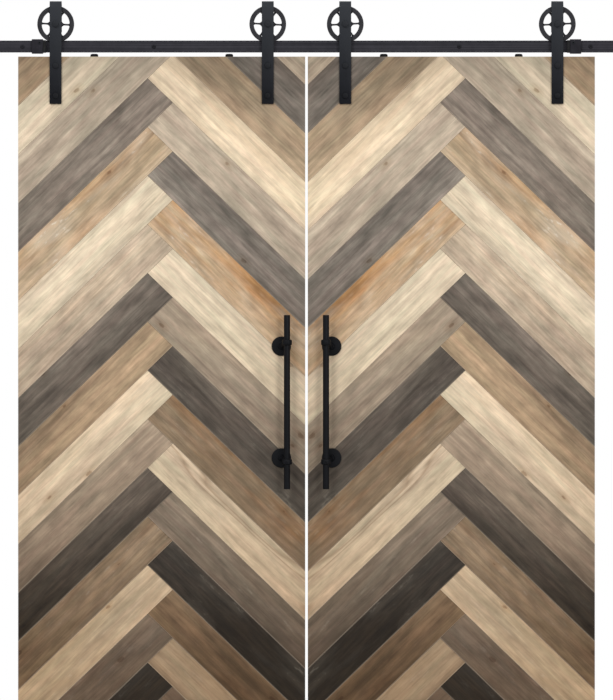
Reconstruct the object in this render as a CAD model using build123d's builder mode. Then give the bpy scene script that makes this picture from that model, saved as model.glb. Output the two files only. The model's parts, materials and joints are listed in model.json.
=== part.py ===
from build123d import *
import math
import os

# A pair of sliding barn doors on one flat wall rail, closed.
# X runs along the rail, Y towards the wall and Z up, in millimetres.
# The origin is at the foot of the doors, midway between them and midway through the depth.
# A depth is measured from the doors' front face towards the wall.

# Door leaves
door_width = 914.4
door_height = 2133.6
door_gap = 8.5
panel_thickness = 16.0
frame_thickness = 19.0
frame_width = 140.0
frame_joint = 0.6
middle_rail_height = 1010.0

# Herringbone boards, whose finishes repeat in this order down each side of the spine
left_lean_finishes = ["dark", "brown", "cream", "taupe"]
right_lean_finishes = ["cream", "taupe", "dark", "brown"]
plank_angle = 44.0
plank_width = 111.6
plank_thickness = 9.5
plank_joint = 0.8
plank_arris = 1.0
spine_inset = 452.4
first_vertex_drop = 69.1
smallest_offcut = 16.0

# Rail and its wall fixings
rail_length = 3657.6
rail_height = 38.0
rail_thickness = 6.35
rail_arris = 0.8
rail_lift = 13.6
hanging_depth = 15.0
spacer_length = 38.1
spacer_diameter = 22.0
lag_bolt_diameter = 8.0
lag_bolt_neck = 3.0
lag_thread_diameter = 7.4
lag_thread_length = 44.0
lag_bolt_point = 3.0
lag_head_diameter = 12.5
lag_head_height = 4.5
lag_socket_size = 5.0
lag_socket_depth = 2.5
rail_end_inset = 85.9
rail_bolt_pitch = 418.7
outer_bolts_each_side = 4

# Wheels
tread_diameter = 104.0
flange_diameter = 117.0
wheel_width = 22.0
groove_width = 7.6
groove_flare = 1.2
rim_inner_diameter = 89.0
flange_arris = 1.2
hub_diameter = 36.0
spoke_count = 6
spoke_width = 4.2
spoke_depth = 9.0
web_ledge = 0.8
spoke_tilt = 3.0
spoke_root_radius = 11.0
spoke_tip_radius = 4.5
tread_gap = 0.3

# Bearings and axles
bearing_diameter = 28.0
bearing_width = 10.0
bearing_groove = 0.6
axle_diameter = 12.0
axle_head_size = 18.0
axle_head_height = 7.5
axle_head_turn = 30.0
axle_nut_height = 8.0
axle_tail = 1.5
sleeve_diameter = 17.0
press_clearance = 0.02
running_clearance = 0.04
bolt_clearance = 0.25
bearing_side_gap = 0.3

# Hangers
strap_width = 38.0
strap_thickness = 6.35
strap_gap = 30.0
strap_corner = 2.0
crown_clearance = 8.35
rear_leg_reach = 26.0
strap_reach = 150.9
hanger_inset = 119.2
strap_bolt_drop = 28.6
strap_bolt_pitch = 96.0
strap_bolt_diameter = 10.0
strap_head_size = 17.0
strap_head_height = 6.4
sleeve_nut_diameter = 13.0
sleeve_nut_length = 15.0
sleeve_nut_flange = 22.0
sleeve_nut_flange_height = 2.0
head_bevel = 0.7

# Blocks on the doors' top edges that keep the wheels from jumping off
disc_inset = 242.1
disc_diameter = 25.0
disc_height = 9.2
disc_round = 5.0
disc_screw_diameter = 4.4
disc_screw_head = 9.0
disc_screw_sink = 2.4
disc_screw_length = 32.0

# Bar handles
handle_inset = 57.8
handle_height = 1033.0
handle_length = 554.0
handle_diameter = 20.0
handle_standoff = 45.0
handle_arris = 1.5
clamp_spread = 190.0
clamp_diameter = 32.0
clamp_length = 18.0
clamp_round = 4.0
plate_spread = 178.0
plate_offset = 18.0
plate_diameter = 62.0
plate_thickness = 5.0
plate_round = 2.0
post_diameter = 15.0
post_foot_diameter = 24.0
post_foot_height = 7.0
post_foot_taper = 20.0
handle_bolt_diameter = 6.0
handle_bolt_bite = 9.0
handle_bolt_head = 15.0
handle_bolt_head_height = 3.0
clamp_screw_diameter = 5.0
clamp_screw_head = 8.0
clamp_screw_head_height = 1.8

# End stops
stop_place = 857.5
stop_length = 36.0
stop_height = 46.0
stop_wall = 5.0
stop_channel_height = 15.0
stop_channel_depth = 7.0
stop_hook_height = 10.0
stop_hook_thickness = 5.0
stop_round = 3.0
stop_slip = 0.25
bumper_length = 9.0
bumper_height = 40.0
bumper_round = 2.5
stop_screw_inset = 10.6
stop_screw_rise = 11.8
stop_screw_diameter = 5.0
stop_screw_head = 9.5
stop_screw_head_height = 3.0
stop_screw_socket = 4.0
stop_screw_socket_depth = 1.6

# Levels and depths that follow from the sizes above
leaf_thickness = plank_thickness + panel_thickness + frame_thickness
rail_bottom = door_height + rail_lift
rail_top = rail_bottom + rail_height
rail_middle = rail_bottom + rail_height / 2
axle_height = rail_top + tread_gap + tread_diameter / 2
bend_height = axle_height + flange_diameter / 2 + crown_clearance - strap_gap / 2
strap_bottom = door_height - strap_reach
rail_front = hanging_depth - rail_thickness / 2
rail_back = hanging_depth + rail_thickness / 2
wall_depth = rail_back + spacer_length
lag_tip_depth = wall_depth + lag_bolt_neck + lag_thread_length + lag_bolt_point
handle_reach = handle_standoff + clamp_diameter / 2 + clamp_screw_head_height
face_y = (handle_reach - lag_tip_depth) / 2

board_slope = math.tan(math.radians(plank_angle))
board_pitch = plank_width / math.cos(math.radians(plank_angle))
half_end = board_pitch / board_slope / 4
strap_bolt_heights = [
    door_height - strap_bolt_drop,
    door_height - strap_bolt_drop - strap_bolt_pitch,
]
side_signs = {"left": -1, "right": 1}


def front_plane(depth):
    """A plane that faces the viewer at a depth, with X and Z as its own axes."""
    return Plane(origin=(0, face_y + depth, 0), x_dir=(1, 0, 0), z_dir=(0, -1, 0))


def side_plane(x):
    """A plane that faces +X, with depth and height as its own axes."""
    return Plane(origin=(x, face_y, 0), x_dir=(0, 1, 0), z_dir=(1, 0, 0))


def save(piece, name):
    """Label a finished piece and write it."""
    piece.label = name
    export_step(piece, f"parts/{name}.step")


def along_leaf(side, inset_from_outer):
    """The X of a place on a leaf, measured inwards from its outer edge."""
    return side * (door_gap / 2 + door_width - inset_from_outer)


def hanger_places(side):
    """The X of a leaf's outer and inner hanger."""
    return [along_leaf(side, hanger_inset), along_leaf(side, door_width - hanger_inset)]


def disc_places(side):
    """The X of a leaf's two anti-jump discs."""
    return [along_leaf(side, disc_inset), along_leaf(side, door_width - disc_inset)]


def bar_place(side):
    """The X of a leaf's handle bar."""
    return along_leaf(side, door_width - handle_inset)


def plate_places(side):
    """The centres, in X and Z, of a handle's two round plates."""
    x = bar_place(side) + side * plate_offset
    return [(x, handle_height + plate_spread), (x, handle_height - plate_spread)]


def clamp_places(side):
    """The centres, in X and Z, of the two clamps on a handle bar."""
    x = bar_place(side)
    return [(x, handle_height + clamp_spread), (x, handle_height - clamp_spread)]


def rail_bolt_places(side):
    """The X of one half's wall bolts: one behind the inner strap, the rest counted from the rail's end."""
    outermost = rail_length / 2 - rail_end_inset
    outer = [side * (outermost - step * rail_bolt_pitch) for step in range(outer_bolts_each_side)]
    return [hanger_places(side)[1]] + outer[::-1]


def strap_bolt_places(side):
    """The X and Z of the bolts that hold a leaf's two straps."""
    return [(x, z) for x in hanger_places(side) for z in strap_bolt_heights]


def board_rows(lean):
    """The rows of boards that show on one side of the spine, from the leaf's top corner to its foot.

    Row 0 starts at the highest point of the spine. An offcut lower than the smallest one isn't laid:
    at the top corner its place is taken by a wider first board.
    """
    if lean == "left":
        top_of_row_0 = door_height - first_vertex_drop
        run = spine_inset - half_end
    else:
        top_of_row_0 = door_height - first_vertex_drop + board_pitch / 2
        run = door_width - spine_inset - half_end
    open_corner = run * board_slope + door_height - top_of_row_0
    rows_above = math.ceil((open_corner - smallest_offcut) / board_pitch)
    rows_below = math.ceil((top_of_row_0 - smallest_offcut) / board_pitch)
    return range(-rows_above, rows_below)


def plank_corners(side, row, lean):
    """The corners of one board before it is trimmed to the leaf.

    A board that leans left lies on the leaf's outer side of the spine, and the board across
    the spine covers its end. The first row runs past the leaf's top corner.
    """
    reach = door_width
    rise = reach * board_slope
    top_margin = board_pitch if row == board_rows(lean)[0] else 0.0
    vertex = door_height - first_vertex_drop - board_pitch * row
    if lean == "left":
        corners = [
            (-half_end, vertex + top_margin),
            (half_end, vertex - board_pitch / 2),
            (half_end - reach, vertex - board_pitch / 2 - rise),
            (-half_end - reach, vertex - rise + top_margin),
        ]
        if top_margin:
            corners[0] = (half_end, vertex + board_pitch / 2 + top_margin)
    else:
        corners = [
            (half_end, vertex + board_pitch / 2),
            (-half_end, vertex),
            (-half_end + reach, vertex - rise),
            (half_end + reach, vertex + board_pitch / 2 - rise + top_margin),
        ]
        if top_margin:
            corners[0] = (-half_end, vertex + board_pitch + top_margin)
    spine_x = -(door_gap / 2 + door_width - spine_inset)
    return [(-side * (spine_x + x), z) for x, z in corners]


def make_planks(side_name, finish):
    """All boards of one finish on one leaf, each a solid of its own."""
    side = side_signs[side_name]
    leaf_middle = side * (door_gap + door_width) / 2
    with BuildPart() as planks:
        for lean, finishes in (("left", left_lean_finishes), ("right", right_lean_finishes)):
            for row in board_rows(lean):
                if finishes[row % len(finishes)] != finish:
                    continue
                with BuildSketch(front_plane(plank_thickness)):
                    Polygon(*plank_corners(side, row, lean), align=None)
                    offset(amount=-plank_joint / 2, kind=Kind.INTERSECTION)
                    with Locations((leaf_middle, door_height / 2)):
                        Rectangle(door_width, door_height, mode=Mode.INTERSECT)
                extrude(amount=plank_thickness)
        chamfer(planks.faces().group_by(Axis.Y)[0].edges(), plank_arris)
        with BuildSketch(front_plane(0)):
            with Locations(*strap_bolt_places(side)):
                Circle(strap_bolt_diameter / 2 + bolt_clearance)
            with Locations(*plate_places(side)):
                Circle(handle_bolt_diameter / 2 + bolt_clearance)
        extrude(amount=-plank_thickness, mode=Mode.SUBTRACT)
    save(planks.part, f"{side_name}_planks_{finish}")


def make_panel(side_name):
    """The plywood panel behind the boards."""
    side = side_signs[side_name]
    leaf_middle = side * (door_gap + door_width) / 2
    with BuildPart() as panel:
        with BuildSketch(front_plane(plank_thickness)):
            with Locations((leaf_middle, door_height / 2)):
                Rectangle(door_width, door_height)
            with Locations(*strap_bolt_places(side)):
                Circle(strap_bolt_diameter / 2 + bolt_clearance, mode=Mode.SUBTRACT)
            with Locations(*plate_places(side)):
                Circle(handle_bolt_diameter / 2 + bolt_clearance, mode=Mode.SUBTRACT)
        extrude(amount=-panel_thickness)
        with BuildSketch(Plane.XY.offset(door_height)):
            with Locations(*[(x, disc_y()) for x in disc_places(side)]):
                Circle(disc_screw_diameter / 2)
        extrude(amount=disc_height - disc_screw_length, mode=Mode.SUBTRACT)
    save(panel.part, f"{side_name}_panel")


def disc_y():
    """The Y of the anti-jump discs, in the middle of the panel's edge."""
    return face_y + plank_thickness + panel_thickness / 2


def make_frame(side_name):
    """Two stiles and three rails on the back of the panel."""
    side = side_signs[side_name]
    leaf_middle = side * (door_gap + door_width) / 2
    stile_step = door_width - frame_width
    rail_span = door_width - 2 * frame_width - 2 * frame_joint
    with BuildPart() as frame:
        with BuildSketch(front_plane(plank_thickness + panel_thickness)):
            with Locations((leaf_middle, door_height / 2)):
                with GridLocations(stile_step, 0, 2, 1):
                    Rectangle(frame_width, door_height)
            rail_heights = [frame_width / 2, middle_rail_height, door_height - frame_width / 2]
            with Locations(*[(leaf_middle, height) for height in rail_heights]):
                Rectangle(rail_span, frame_width)
        extrude(amount=-frame_thickness)
        chamfer(frame.faces().group_by(Axis.Y)[-1].edges(), plank_arris)
        with BuildSketch(front_plane(plank_thickness + panel_thickness)):
            with Locations(*strap_bolt_places(side)):
                Circle(sleeve_nut_diameter / 2 + bolt_clearance)
            with Locations(*plate_places(side)):
                Circle(handle_bolt_diameter / 2 + bolt_clearance)
        extrude(amount=-frame_thickness, mode=Mode.SUBTRACT)
    save(frame.part, f"{side_name}_frame")


def make_hanger(name, x):
    """A flat strap that runs up the leaf, over its wheel and down to the axle's far end."""
    with BuildPart() as hanger:
        with BuildSketch(side_plane(x - strap_width / 2)):
            with BuildLine():
                inner = strap_gap / 2
                outer = inner + strap_thickness
                front_outer = Line((-strap_thickness, strap_bottom), (-strap_thickness, bend_height))
                over_outer = CenterArc((inner, bend_height), outer, 180, -180)
                rear_end = axle_height - rear_leg_reach
                rear_outer = Line(over_outer @ 1, (strap_gap + strap_thickness, rear_end))
                foot = Line(rear_outer @ 1, (strap_gap, rear_end))
                rear_inner = Line(foot @ 1, (strap_gap, bend_height))
                over_inner = CenterArc((inner, bend_height), inner, 0, 180)
                front_inner = Line(over_inner @ 1, (0, strap_bottom))
                Line(front_inner @ 1, front_outer @ 0)
            make_face()
        extrude(amount=strap_width)
        ends = hanger.faces().filter_by(Axis.Z)
        fillet(ends.edges().filter_by(Axis.Y), strap_corner)
        with BuildSketch(front_plane(-strap_thickness)):
            with Locations((x, axle_height)):
                Circle(axle_diameter / 2 + bolt_clearance)
        extrude(amount=-(strap_gap + 2 * strap_thickness), mode=Mode.SUBTRACT)
        with BuildSketch(front_plane(-strap_thickness)):
            with Locations(*[(x, height) for height in strap_bolt_heights]):
                Circle(strap_bolt_diameter / 2 + bolt_clearance)
        extrude(amount=-strap_thickness, mode=Mode.SUBTRACT)
    save(hanger.part, name)


def make_wheel(name, x, side):
    """A grooved wheel with cast spokes, turned section first and then the spoke web."""
    middle = hanging_depth
    half_width = wheel_width / 2
    with BuildSketch() as openings:
        Circle(rim_inner_diameter / 2 - web_ledge)
        Circle(hub_diameter / 2 + web_ledge, mode=Mode.SUBTRACT)
        with PolarLocations(0, spoke_count, start_angle=side * spoke_tilt):
            with Locations((rim_inner_diameter / 2, 0)):
                Rectangle(rim_inner_diameter, spoke_width, mode=Mode.SUBTRACT)
        corners = openings.vertices().sort_by_distance((0, 0, 0))
        fillet(corners[: 2 * spoke_count], spoke_root_radius)
        corners = openings.vertices().sort_by_distance((0, 0, 0))
        fillet(corners[-2 * spoke_count:], spoke_tip_radius)
    with BuildPart() as wheel:
        with BuildSketch(side_plane(x)):
            inner = axle_height + rim_inner_diameter / 2
            tread = axle_height + tread_diameter / 2
            crest = axle_height + flange_diameter / 2
            with BuildLine():
                Polyline(
                    (middle - half_width, inner),
                    (middle - half_width, crest - flange_arris),
                    (middle - half_width + flange_arris, crest),
                    (middle - groove_width / 2 - groove_flare, crest),
                    (middle - groove_width / 2, tread),
                    (middle + groove_width / 2, tread),
                    (middle + groove_width / 2 + groove_flare, crest),
                    (middle + half_width - flange_arris, crest),
                    (middle + half_width, crest - flange_arris),
                    (middle + half_width, inner),
                    close=True,
                )
            make_face()
            with Locations((middle, axle_height + (bearing_diameter + hub_diameter) / 4)):
                Rectangle(wheel_width, (hub_diameter - bearing_diameter) / 2)
            with Locations((middle, axle_height + (bearing_diameter + rim_inner_diameter) / 4 + web_ledge)):
                Rectangle(spoke_depth, (rim_inner_diameter - bearing_diameter) / 2)
        revolve(axis=Axis((x, face_y, axle_height), (0, 1, 0)))
        with BuildSketch(front_plane(middle - spoke_depth / 2)):
            with Locations((x, axle_height)):
                add(openings.sketch)
        extrude(amount=-spoke_depth, mode=Mode.SUBTRACT)
    save(wheel.part, name)


def make_bearing(name, x):
    """The ball bearing pressed into a wheel's hub, closed by its shields."""
    outer = bearing_diameter / 2 - press_clearance
    inner = axle_diameter / 2 + running_clearance
    race = (outer - inner) / 4
    with BuildPart() as bearing:
        with BuildSketch(front_plane(hanging_depth - bearing_width / 2)):
            with Locations((x, axle_height)):
                Circle(outer)
                Circle(inner, mode=Mode.SUBTRACT)
        extrude(amount=-bearing_width)
        for depth in (hanging_depth - bearing_width / 2, hanging_depth + bearing_width / 2 - bearing_groove):
            with BuildSketch(front_plane(depth)):
                with Locations((x, axle_height)):
                    Circle(outer - race)
                    Circle(inner + race, mode=Mode.SUBTRACT)
            extrude(amount=-bearing_groove, mode=Mode.SUBTRACT)
    save(bearing.part, name)


def make_axles(side_name):
    """A leaf's two axle bolts, their nuts and the sleeves on both sides of each bearing."""
    side = side_signs[side_name]
    places = [(x, axle_height) for x in hanger_places(side)]
    far_face = strap_gap + strap_thickness
    with BuildPart() as bolts:
        with BuildSketch(front_plane(-strap_thickness)):
            with Locations(*places):
                RegularPolygon(axle_head_size / 2, 6, major_radius=False, rotation=axle_head_turn)
        extrude(amount=axle_head_height)
        chamfer(bolts.faces().group_by(Axis.Y)[0].edges(), head_bevel)
        with BuildSketch(front_plane(-strap_thickness)):
            with Locations(*places):
                Circle(axle_diameter / 2)
        extrude(amount=-(far_face + strap_thickness + axle_nut_height + axle_tail))
    save(bolts.part, f"{side_name}_axle_bolts")

    with BuildPart() as nuts:
        with BuildSketch(front_plane(far_face)):
            with Locations(*places):
                RegularPolygon(axle_head_size / 2, 6, major_radius=False, rotation=axle_head_turn)
        extrude(amount=-axle_nut_height)
        chamfer(nuts.faces().group_by(Axis.Y)[-1].edges(), head_bevel)
        with BuildSketch(front_plane(far_face)):
            with Locations(*places):
                Circle(axle_diameter / 2)
        extrude(amount=-axle_nut_height, mode=Mode.SUBTRACT)
    save(nuts.part, f"{side_name}_axle_nuts")

    bearing_front = hanging_depth - bearing_width / 2
    bearing_back = hanging_depth + bearing_width / 2
    with BuildPart() as sleeves:
        for start, length in (
            (0, bearing_front - bearing_side_gap),
            (bearing_back + bearing_side_gap, strap_gap - bearing_back - bearing_side_gap),
        ):
            with BuildSketch(front_plane(start)):
                with Locations(*places):
                    Circle(sleeve_diameter / 2)
                    Circle(axle_diameter / 2 + running_clearance, mode=Mode.SUBTRACT)
            extrude(amount=-length)
    save(sleeves.part, f"{side_name}_axle_sleeves")


def make_strap_fixings(side_name):
    """The hex bolts through the straps and the flanged sleeve nuts behind the leaf."""
    side = side_signs[side_name]
    places = strap_bolt_places(side)
    sleeve_start = leaf_thickness - sleeve_nut_length
    with BuildPart() as bolts:
        with BuildSketch(front_plane(-strap_thickness)):
            with Locations(*places):
                RegularPolygon(strap_head_size / 2, 6, major_radius=False)
        extrude(amount=strap_head_height)
        chamfer(bolts.faces().group_by(Axis.Y)[0].edges(), head_bevel)
        with BuildSketch(front_plane(-strap_thickness)):
            with Locations(*places):
                Circle(strap_bolt_diameter / 2)
        extrude(amount=-(strap_thickness + leaf_thickness))
    save(bolts.part, f"{side_name}_strap_bolts")

    with BuildPart() as nuts:
        with BuildSketch(front_plane(sleeve_start)):
            with Locations(*places):
                Circle(sleeve_nut_diameter / 2)
                Circle(strap_bolt_diameter / 2, mode=Mode.SUBTRACT)
        extrude(amount=-sleeve_nut_length)
        with BuildSketch(front_plane(leaf_thickness)):
            with Locations(*places):
                Circle(sleeve_nut_flange / 2)
        extrude(amount=-sleeve_nut_flange_height)
        chamfer(nuts.faces().group_by(Axis.Y)[-1].edges(), head_bevel)
    save(nuts.part, f"{side_name}_strap_nuts")


def make_discs(side_name):
    """The two round blocks on a leaf's top edge and the screws that hold them."""
    side = side_signs[side_name]
    places = [(x, disc_y()) for x in disc_places(side)]
    top = door_height + disc_height
    with BuildPart() as discs:
        with BuildSketch(Plane.XY.offset(door_height)):
            with Locations(*places):
                Circle(disc_diameter / 2)
        extrude(amount=disc_height)
        fillet(discs.faces().group_by(Axis.Z)[-1].edges(), disc_round)
        with BuildSketch(Plane.XY.offset(door_height)):
            with Locations(*places):
                Circle(disc_screw_diameter / 2)
        extrude(amount=disc_height, mode=Mode.SUBTRACT)
        with BuildSketch(Plane.XY.offset(top)):
            with Locations(*places):
                Circle(disc_screw_head / 2)
        extrude(amount=-disc_screw_sink, mode=Mode.SUBTRACT)
    save(discs.part, f"{side_name}_anti_jump_discs")

    with BuildPart() as screws:
        with BuildSketch(Plane.XY.offset(top - disc_screw_sink)):
            with Locations(*places):
                Circle(disc_screw_head / 2 - bolt_clearance)
        extrude(amount=disc_screw_sink - bolt_clearance)
        with BuildSketch(Plane.XY.offset(top - disc_screw_sink)):
            with Locations(*places):
                Circle(disc_screw_diameter / 2)
        extrude(amount=disc_screw_sink - disc_screw_length)
    save(screws.part, f"{side_name}_disc_screws")


def make_handle(side_name):
    """A round bar held off the leaf by two leaning posts on round plates."""
    side = side_signs[side_name]
    x = bar_place(side)
    bar_y = face_y - handle_standoff
    foot = handle_height - handle_length / 2
    with BuildPart() as bar:
        with BuildSketch(Plane.XY.offset(foot)):
            with Locations((x, bar_y)):
                Circle(handle_diameter / 2)
        extrude(amount=handle_length)
        chamfer(bar.edges().filter_by(GeomType.CIRCLE), handle_arris)
    save(bar.part, f"{side_name}_handle_bar")

    with BuildPart() as plates:
        with BuildSketch(front_plane(0)):
            with Locations(*plate_places(side)):
                Circle(plate_diameter / 2)
        extrude(amount=plate_thickness)
        fillet(plates.faces().group_by(Axis.Y)[0].edges(), plate_round)
        with BuildSketch(front_plane(0)):
            with Locations(*plate_places(side)):
                Circle(handle_bolt_diameter / 2 + bolt_clearance)
        extrude(amount=plate_thickness, mode=Mode.SUBTRACT)
    save(plates.part, f"{side_name}_handle_plates")

    with BuildPart() as posts:
        for plate, clamp in zip(plate_places(side), clamp_places(side)):
            foot_centre = Vector(plate[0], face_y - plate_thickness, plate[1])
            clamp_centre = Vector(clamp[0], bar_y, clamp[1])
            with BuildSketch(Plane(origin=foot_centre, z_dir=clamp_centre - foot_centre)):
                Circle(post_diameter / 2)
            extrude(amount=(clamp_centre - foot_centre).length)
            with BuildSketch(front_plane(-plate_thickness)):
                with Locations(plate):
                    Circle(post_foot_diameter / 2)
            extrude(amount=post_foot_height, taper=post_foot_taper)
            with BuildSketch(Plane.XY.offset(clamp[1] - clamp_length / 2)):
                with Locations((clamp[0], bar_y)):
                    Circle(clamp_diameter / 2)
            extrude(amount=clamp_length)
        split(bisect_by=front_plane(-plate_thickness), keep=Keep.TOP)
        rims = posts.edges().filter_by(GeomType.CIRCLE).group_by(SortBy.RADIUS)[-1]
        fillet(rims, clamp_round)
        with BuildSketch(Plane.XY.offset(foot)):
            with Locations((x, bar_y)):
                Circle(handle_diameter / 2)
        extrude(amount=handle_length, mode=Mode.SUBTRACT)
        with BuildSketch(front_plane(-plate_thickness)):
            with Locations(*plate_places(side)):
                Circle(handle_bolt_diameter / 2)
        extrude(amount=handle_bolt_bite, mode=Mode.SUBTRACT)
        with BuildSketch(front_plane(-handle_standoff)):
            with Locations(*clamp_places(side)):
                Circle(clamp_screw_diameter / 2)
        extrude(amount=clamp_diameter / 2, mode=Mode.SUBTRACT)
    save(posts.part, f"{side_name}_handle_posts")

    with BuildPart() as screws:
        with BuildSketch(front_plane(-handle_standoff - clamp_diameter / 2)):
            with Locations(*clamp_places(side)):
                Circle(clamp_screw_head / 2)
        extrude(amount=clamp_screw_head_height)
        fillet(screws.faces().group_by(Axis.Y)[0].edges(), head_bevel)
        with BuildSketch(front_plane(-handle_standoff - clamp_diameter / 2)):
            with Locations(*clamp_places(side)):
                Circle(clamp_screw_diameter / 2)
        extrude(amount=-(clamp_diameter - handle_diameter) / 2)
    save(screws.part, f"{side_name}_clamp_screws")

    with BuildPart() as bolts:
        with BuildSketch(front_plane(leaf_thickness)):
            with Locations(*plate_places(side)):
                Circle(handle_bolt_head / 2)
        extrude(amount=-handle_bolt_head_height)
        chamfer(bolts.faces().group_by(Axis.Y)[-1].edges(), head_bevel)
        with BuildSketch(front_plane(leaf_thickness)):
            with Locations(*plate_places(side)):
                Circle(handle_bolt_diameter / 2)
        extrude(amount=leaf_thickness + plate_thickness + handle_bolt_bite)
    save(bolts.part, f"{side_name}_handle_bolts")


def make_rail():
    """The flat bar, its spacers and its wall bolts."""
    places = [(x, rail_middle) for side in (-1, 1) for x in rail_bolt_places(side)]
    thread_start = wall_depth + lag_bolt_neck
    with BuildPart() as rail:
        with BuildSketch(front_plane(rail_front)):
            with Locations((0, rail_middle)):
                Rectangle(rail_length, rail_height)
        extrude(amount=-rail_thickness)
        chamfer(rail.edges().filter_by(Axis.X), rail_arris)
        with BuildSketch(front_plane(rail_front)):
            with Locations(*places):
                Circle(lag_bolt_diameter / 2 + bolt_clearance)
        extrude(amount=-rail_thickness, mode=Mode.SUBTRACT)
    save(rail.part, "track_rail")

    with BuildPart() as spacers:
        with BuildSketch(front_plane(rail_back)):
            with Locations(*places):
                Circle(spacer_diameter / 2)
                Circle(lag_bolt_diameter / 2 + bolt_clearance, mode=Mode.SUBTRACT)
        extrude(amount=-spacer_length)
    save(spacers.part, "rail_spacers")

    with BuildPart() as bolts:
        with BuildSketch(front_plane(rail_front)):
            with Locations(*places):
                Circle(lag_head_diameter / 2)
        extrude(amount=lag_head_height)
        fillet(bolts.faces().group_by(Axis.Y)[0].edges(), lag_head_height / 2)
        with BuildSketch(front_plane(rail_front)):
            with Locations(*places):
                Circle(lag_bolt_diameter / 2)
        extrude(amount=-(thread_start - rail_front))
        with BuildSketch(front_plane(thread_start)):
            with Locations(*places):
                Circle(lag_thread_diameter / 2)
        extrude(amount=-(lag_tip_depth - thread_start))
        chamfer(bolts.faces().group_by(Axis.Y)[-1].edges(), lag_bolt_point)
        with BuildSketch(front_plane(rail_front - lag_head_height)):
            with Locations(*places):
                RegularPolygon(lag_socket_size / 2, 6, major_radius=False)
        extrude(amount=-lag_socket_depth, mode=Mode.SUBTRACT)
    save(bolts.part, "rail_lag_bolts")


def make_stop(side_name):
    """The clamp block beside the outer wheel, with its pad and its screw."""
    side = side_signs[side_name]
    x = side * stop_place
    inner_face = x - side * stop_length / 2
    block_front = rail_front - stop_channel_depth - stop_wall
    block_back = rail_back + stop_slip + stop_hook_thickness
    pocket_front = rail_front - stop_slip
    pocket_back = rail_back + stop_slip

    def section(height, corner):
        """The block's section: a pocket for the rail, a channel for bolt heads, open behind."""
        with BuildSketch() as face:
            with Locations(((block_front + block_back) / 2, rail_middle)):
                RectangleRounded(block_back - block_front, height, corner)
            with Locations(((pocket_front + pocket_back) / 2, rail_middle)):
                Rectangle(pocket_back - pocket_front, rail_height + 2 * stop_slip, mode=Mode.SUBTRACT)
            with Locations((rail_front - stop_channel_depth / 2, rail_middle)):
                Rectangle(stop_channel_depth, stop_channel_height, mode=Mode.SUBTRACT)
            with Locations((block_back, rail_middle)):
                Rectangle(2 * stop_hook_thickness, stop_height - 2 * stop_hook_height, mode=Mode.SUBTRACT)
        return face.sketch

    screw_x = inner_face + side * stop_screw_inset
    screw_height = rail_middle + stop_screw_rise
    with BuildPart() as block:
        with BuildSketch(side_plane(x - stop_length / 2)):
            add(section(stop_height, stop_round))
        extrude(amount=stop_length)
        with BuildSketch(front_plane(block_front)):
            with Locations((screw_x, screw_height)):
                Circle(stop_screw_diameter / 2)
        extrude(amount=block_front - pocket_front, mode=Mode.SUBTRACT)
    save(block.part, f"{side_name}_end_stop")

    with BuildPart() as bumper:
        with BuildSketch(side_plane(min(inner_face, inner_face - side * bumper_length))):
            add(section(bumper_height, bumper_round))
        extrude(amount=bumper_length)
    save(bumper.part, f"{side_name}_stop_bumper")

    with BuildPart() as screw:
        with BuildSketch(front_plane(block_front)):
            with Locations((screw_x, screw_height)):
                Circle(stop_screw_head / 2)
        extrude(amount=stop_screw_head_height)
        fillet(screw.faces().group_by(Axis.Y)[0].edges(), head_bevel)
        with BuildSketch(front_plane(block_front)):
            with Locations((screw_x, screw_height)):
                Circle(stop_screw_diameter / 2)
        extrude(amount=block_front - pocket_front)
        with BuildSketch(front_plane(block_front - stop_screw_head_height)):
            with Locations((screw_x, screw_height)):
                RegularPolygon(stop_screw_socket / 2, 6, major_radius=False)
        extrude(amount=-stop_screw_socket_depth, mode=Mode.SUBTRACT)
    save(screw.part, f"{side_name}_stop_screw")


def make_leaf(side_name):
    """Everything that rides on one leaf, and the two wheels that carry it."""
    side = side_signs[side_name]
    for finish in left_lean_finishes:
        make_planks(side_name, finish)
    make_panel(side_name)
    make_frame(side_name)
    for place_name, x in zip(("outer", "inner"), hanger_places(side)):
        make_hanger(f"{side_name}_{place_name}_hanger", x)
        make_wheel(f"{side_name}_{place_name}_wheel", x, side)
        make_bearing(f"{side_name}_{place_name}_bearing", x)
    make_axles(side_name)
    make_strap_fixings(side_name)
    make_discs(side_name)
    make_handle(side_name)


os.makedirs("parts", exist_ok=True)
make_rail()
for side_name in side_signs:
    make_stop(side_name)
    make_leaf(side_name)
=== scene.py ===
"""The looks of a pair of sliding barn doors: herringbone boards, strap hangers, spoked wheels and handles.

Everything is in metres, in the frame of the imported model. X runs along the rail, Y towards the wall and Z up.
A depth is measured from the doors' front face towards the wall.
"""

from __future__ import annotations

import json
import logging
import math
import random
from dataclasses import dataclass
from enum import Enum

import bmesh
import bpy
from mathutils import Matrix, Vector

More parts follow.
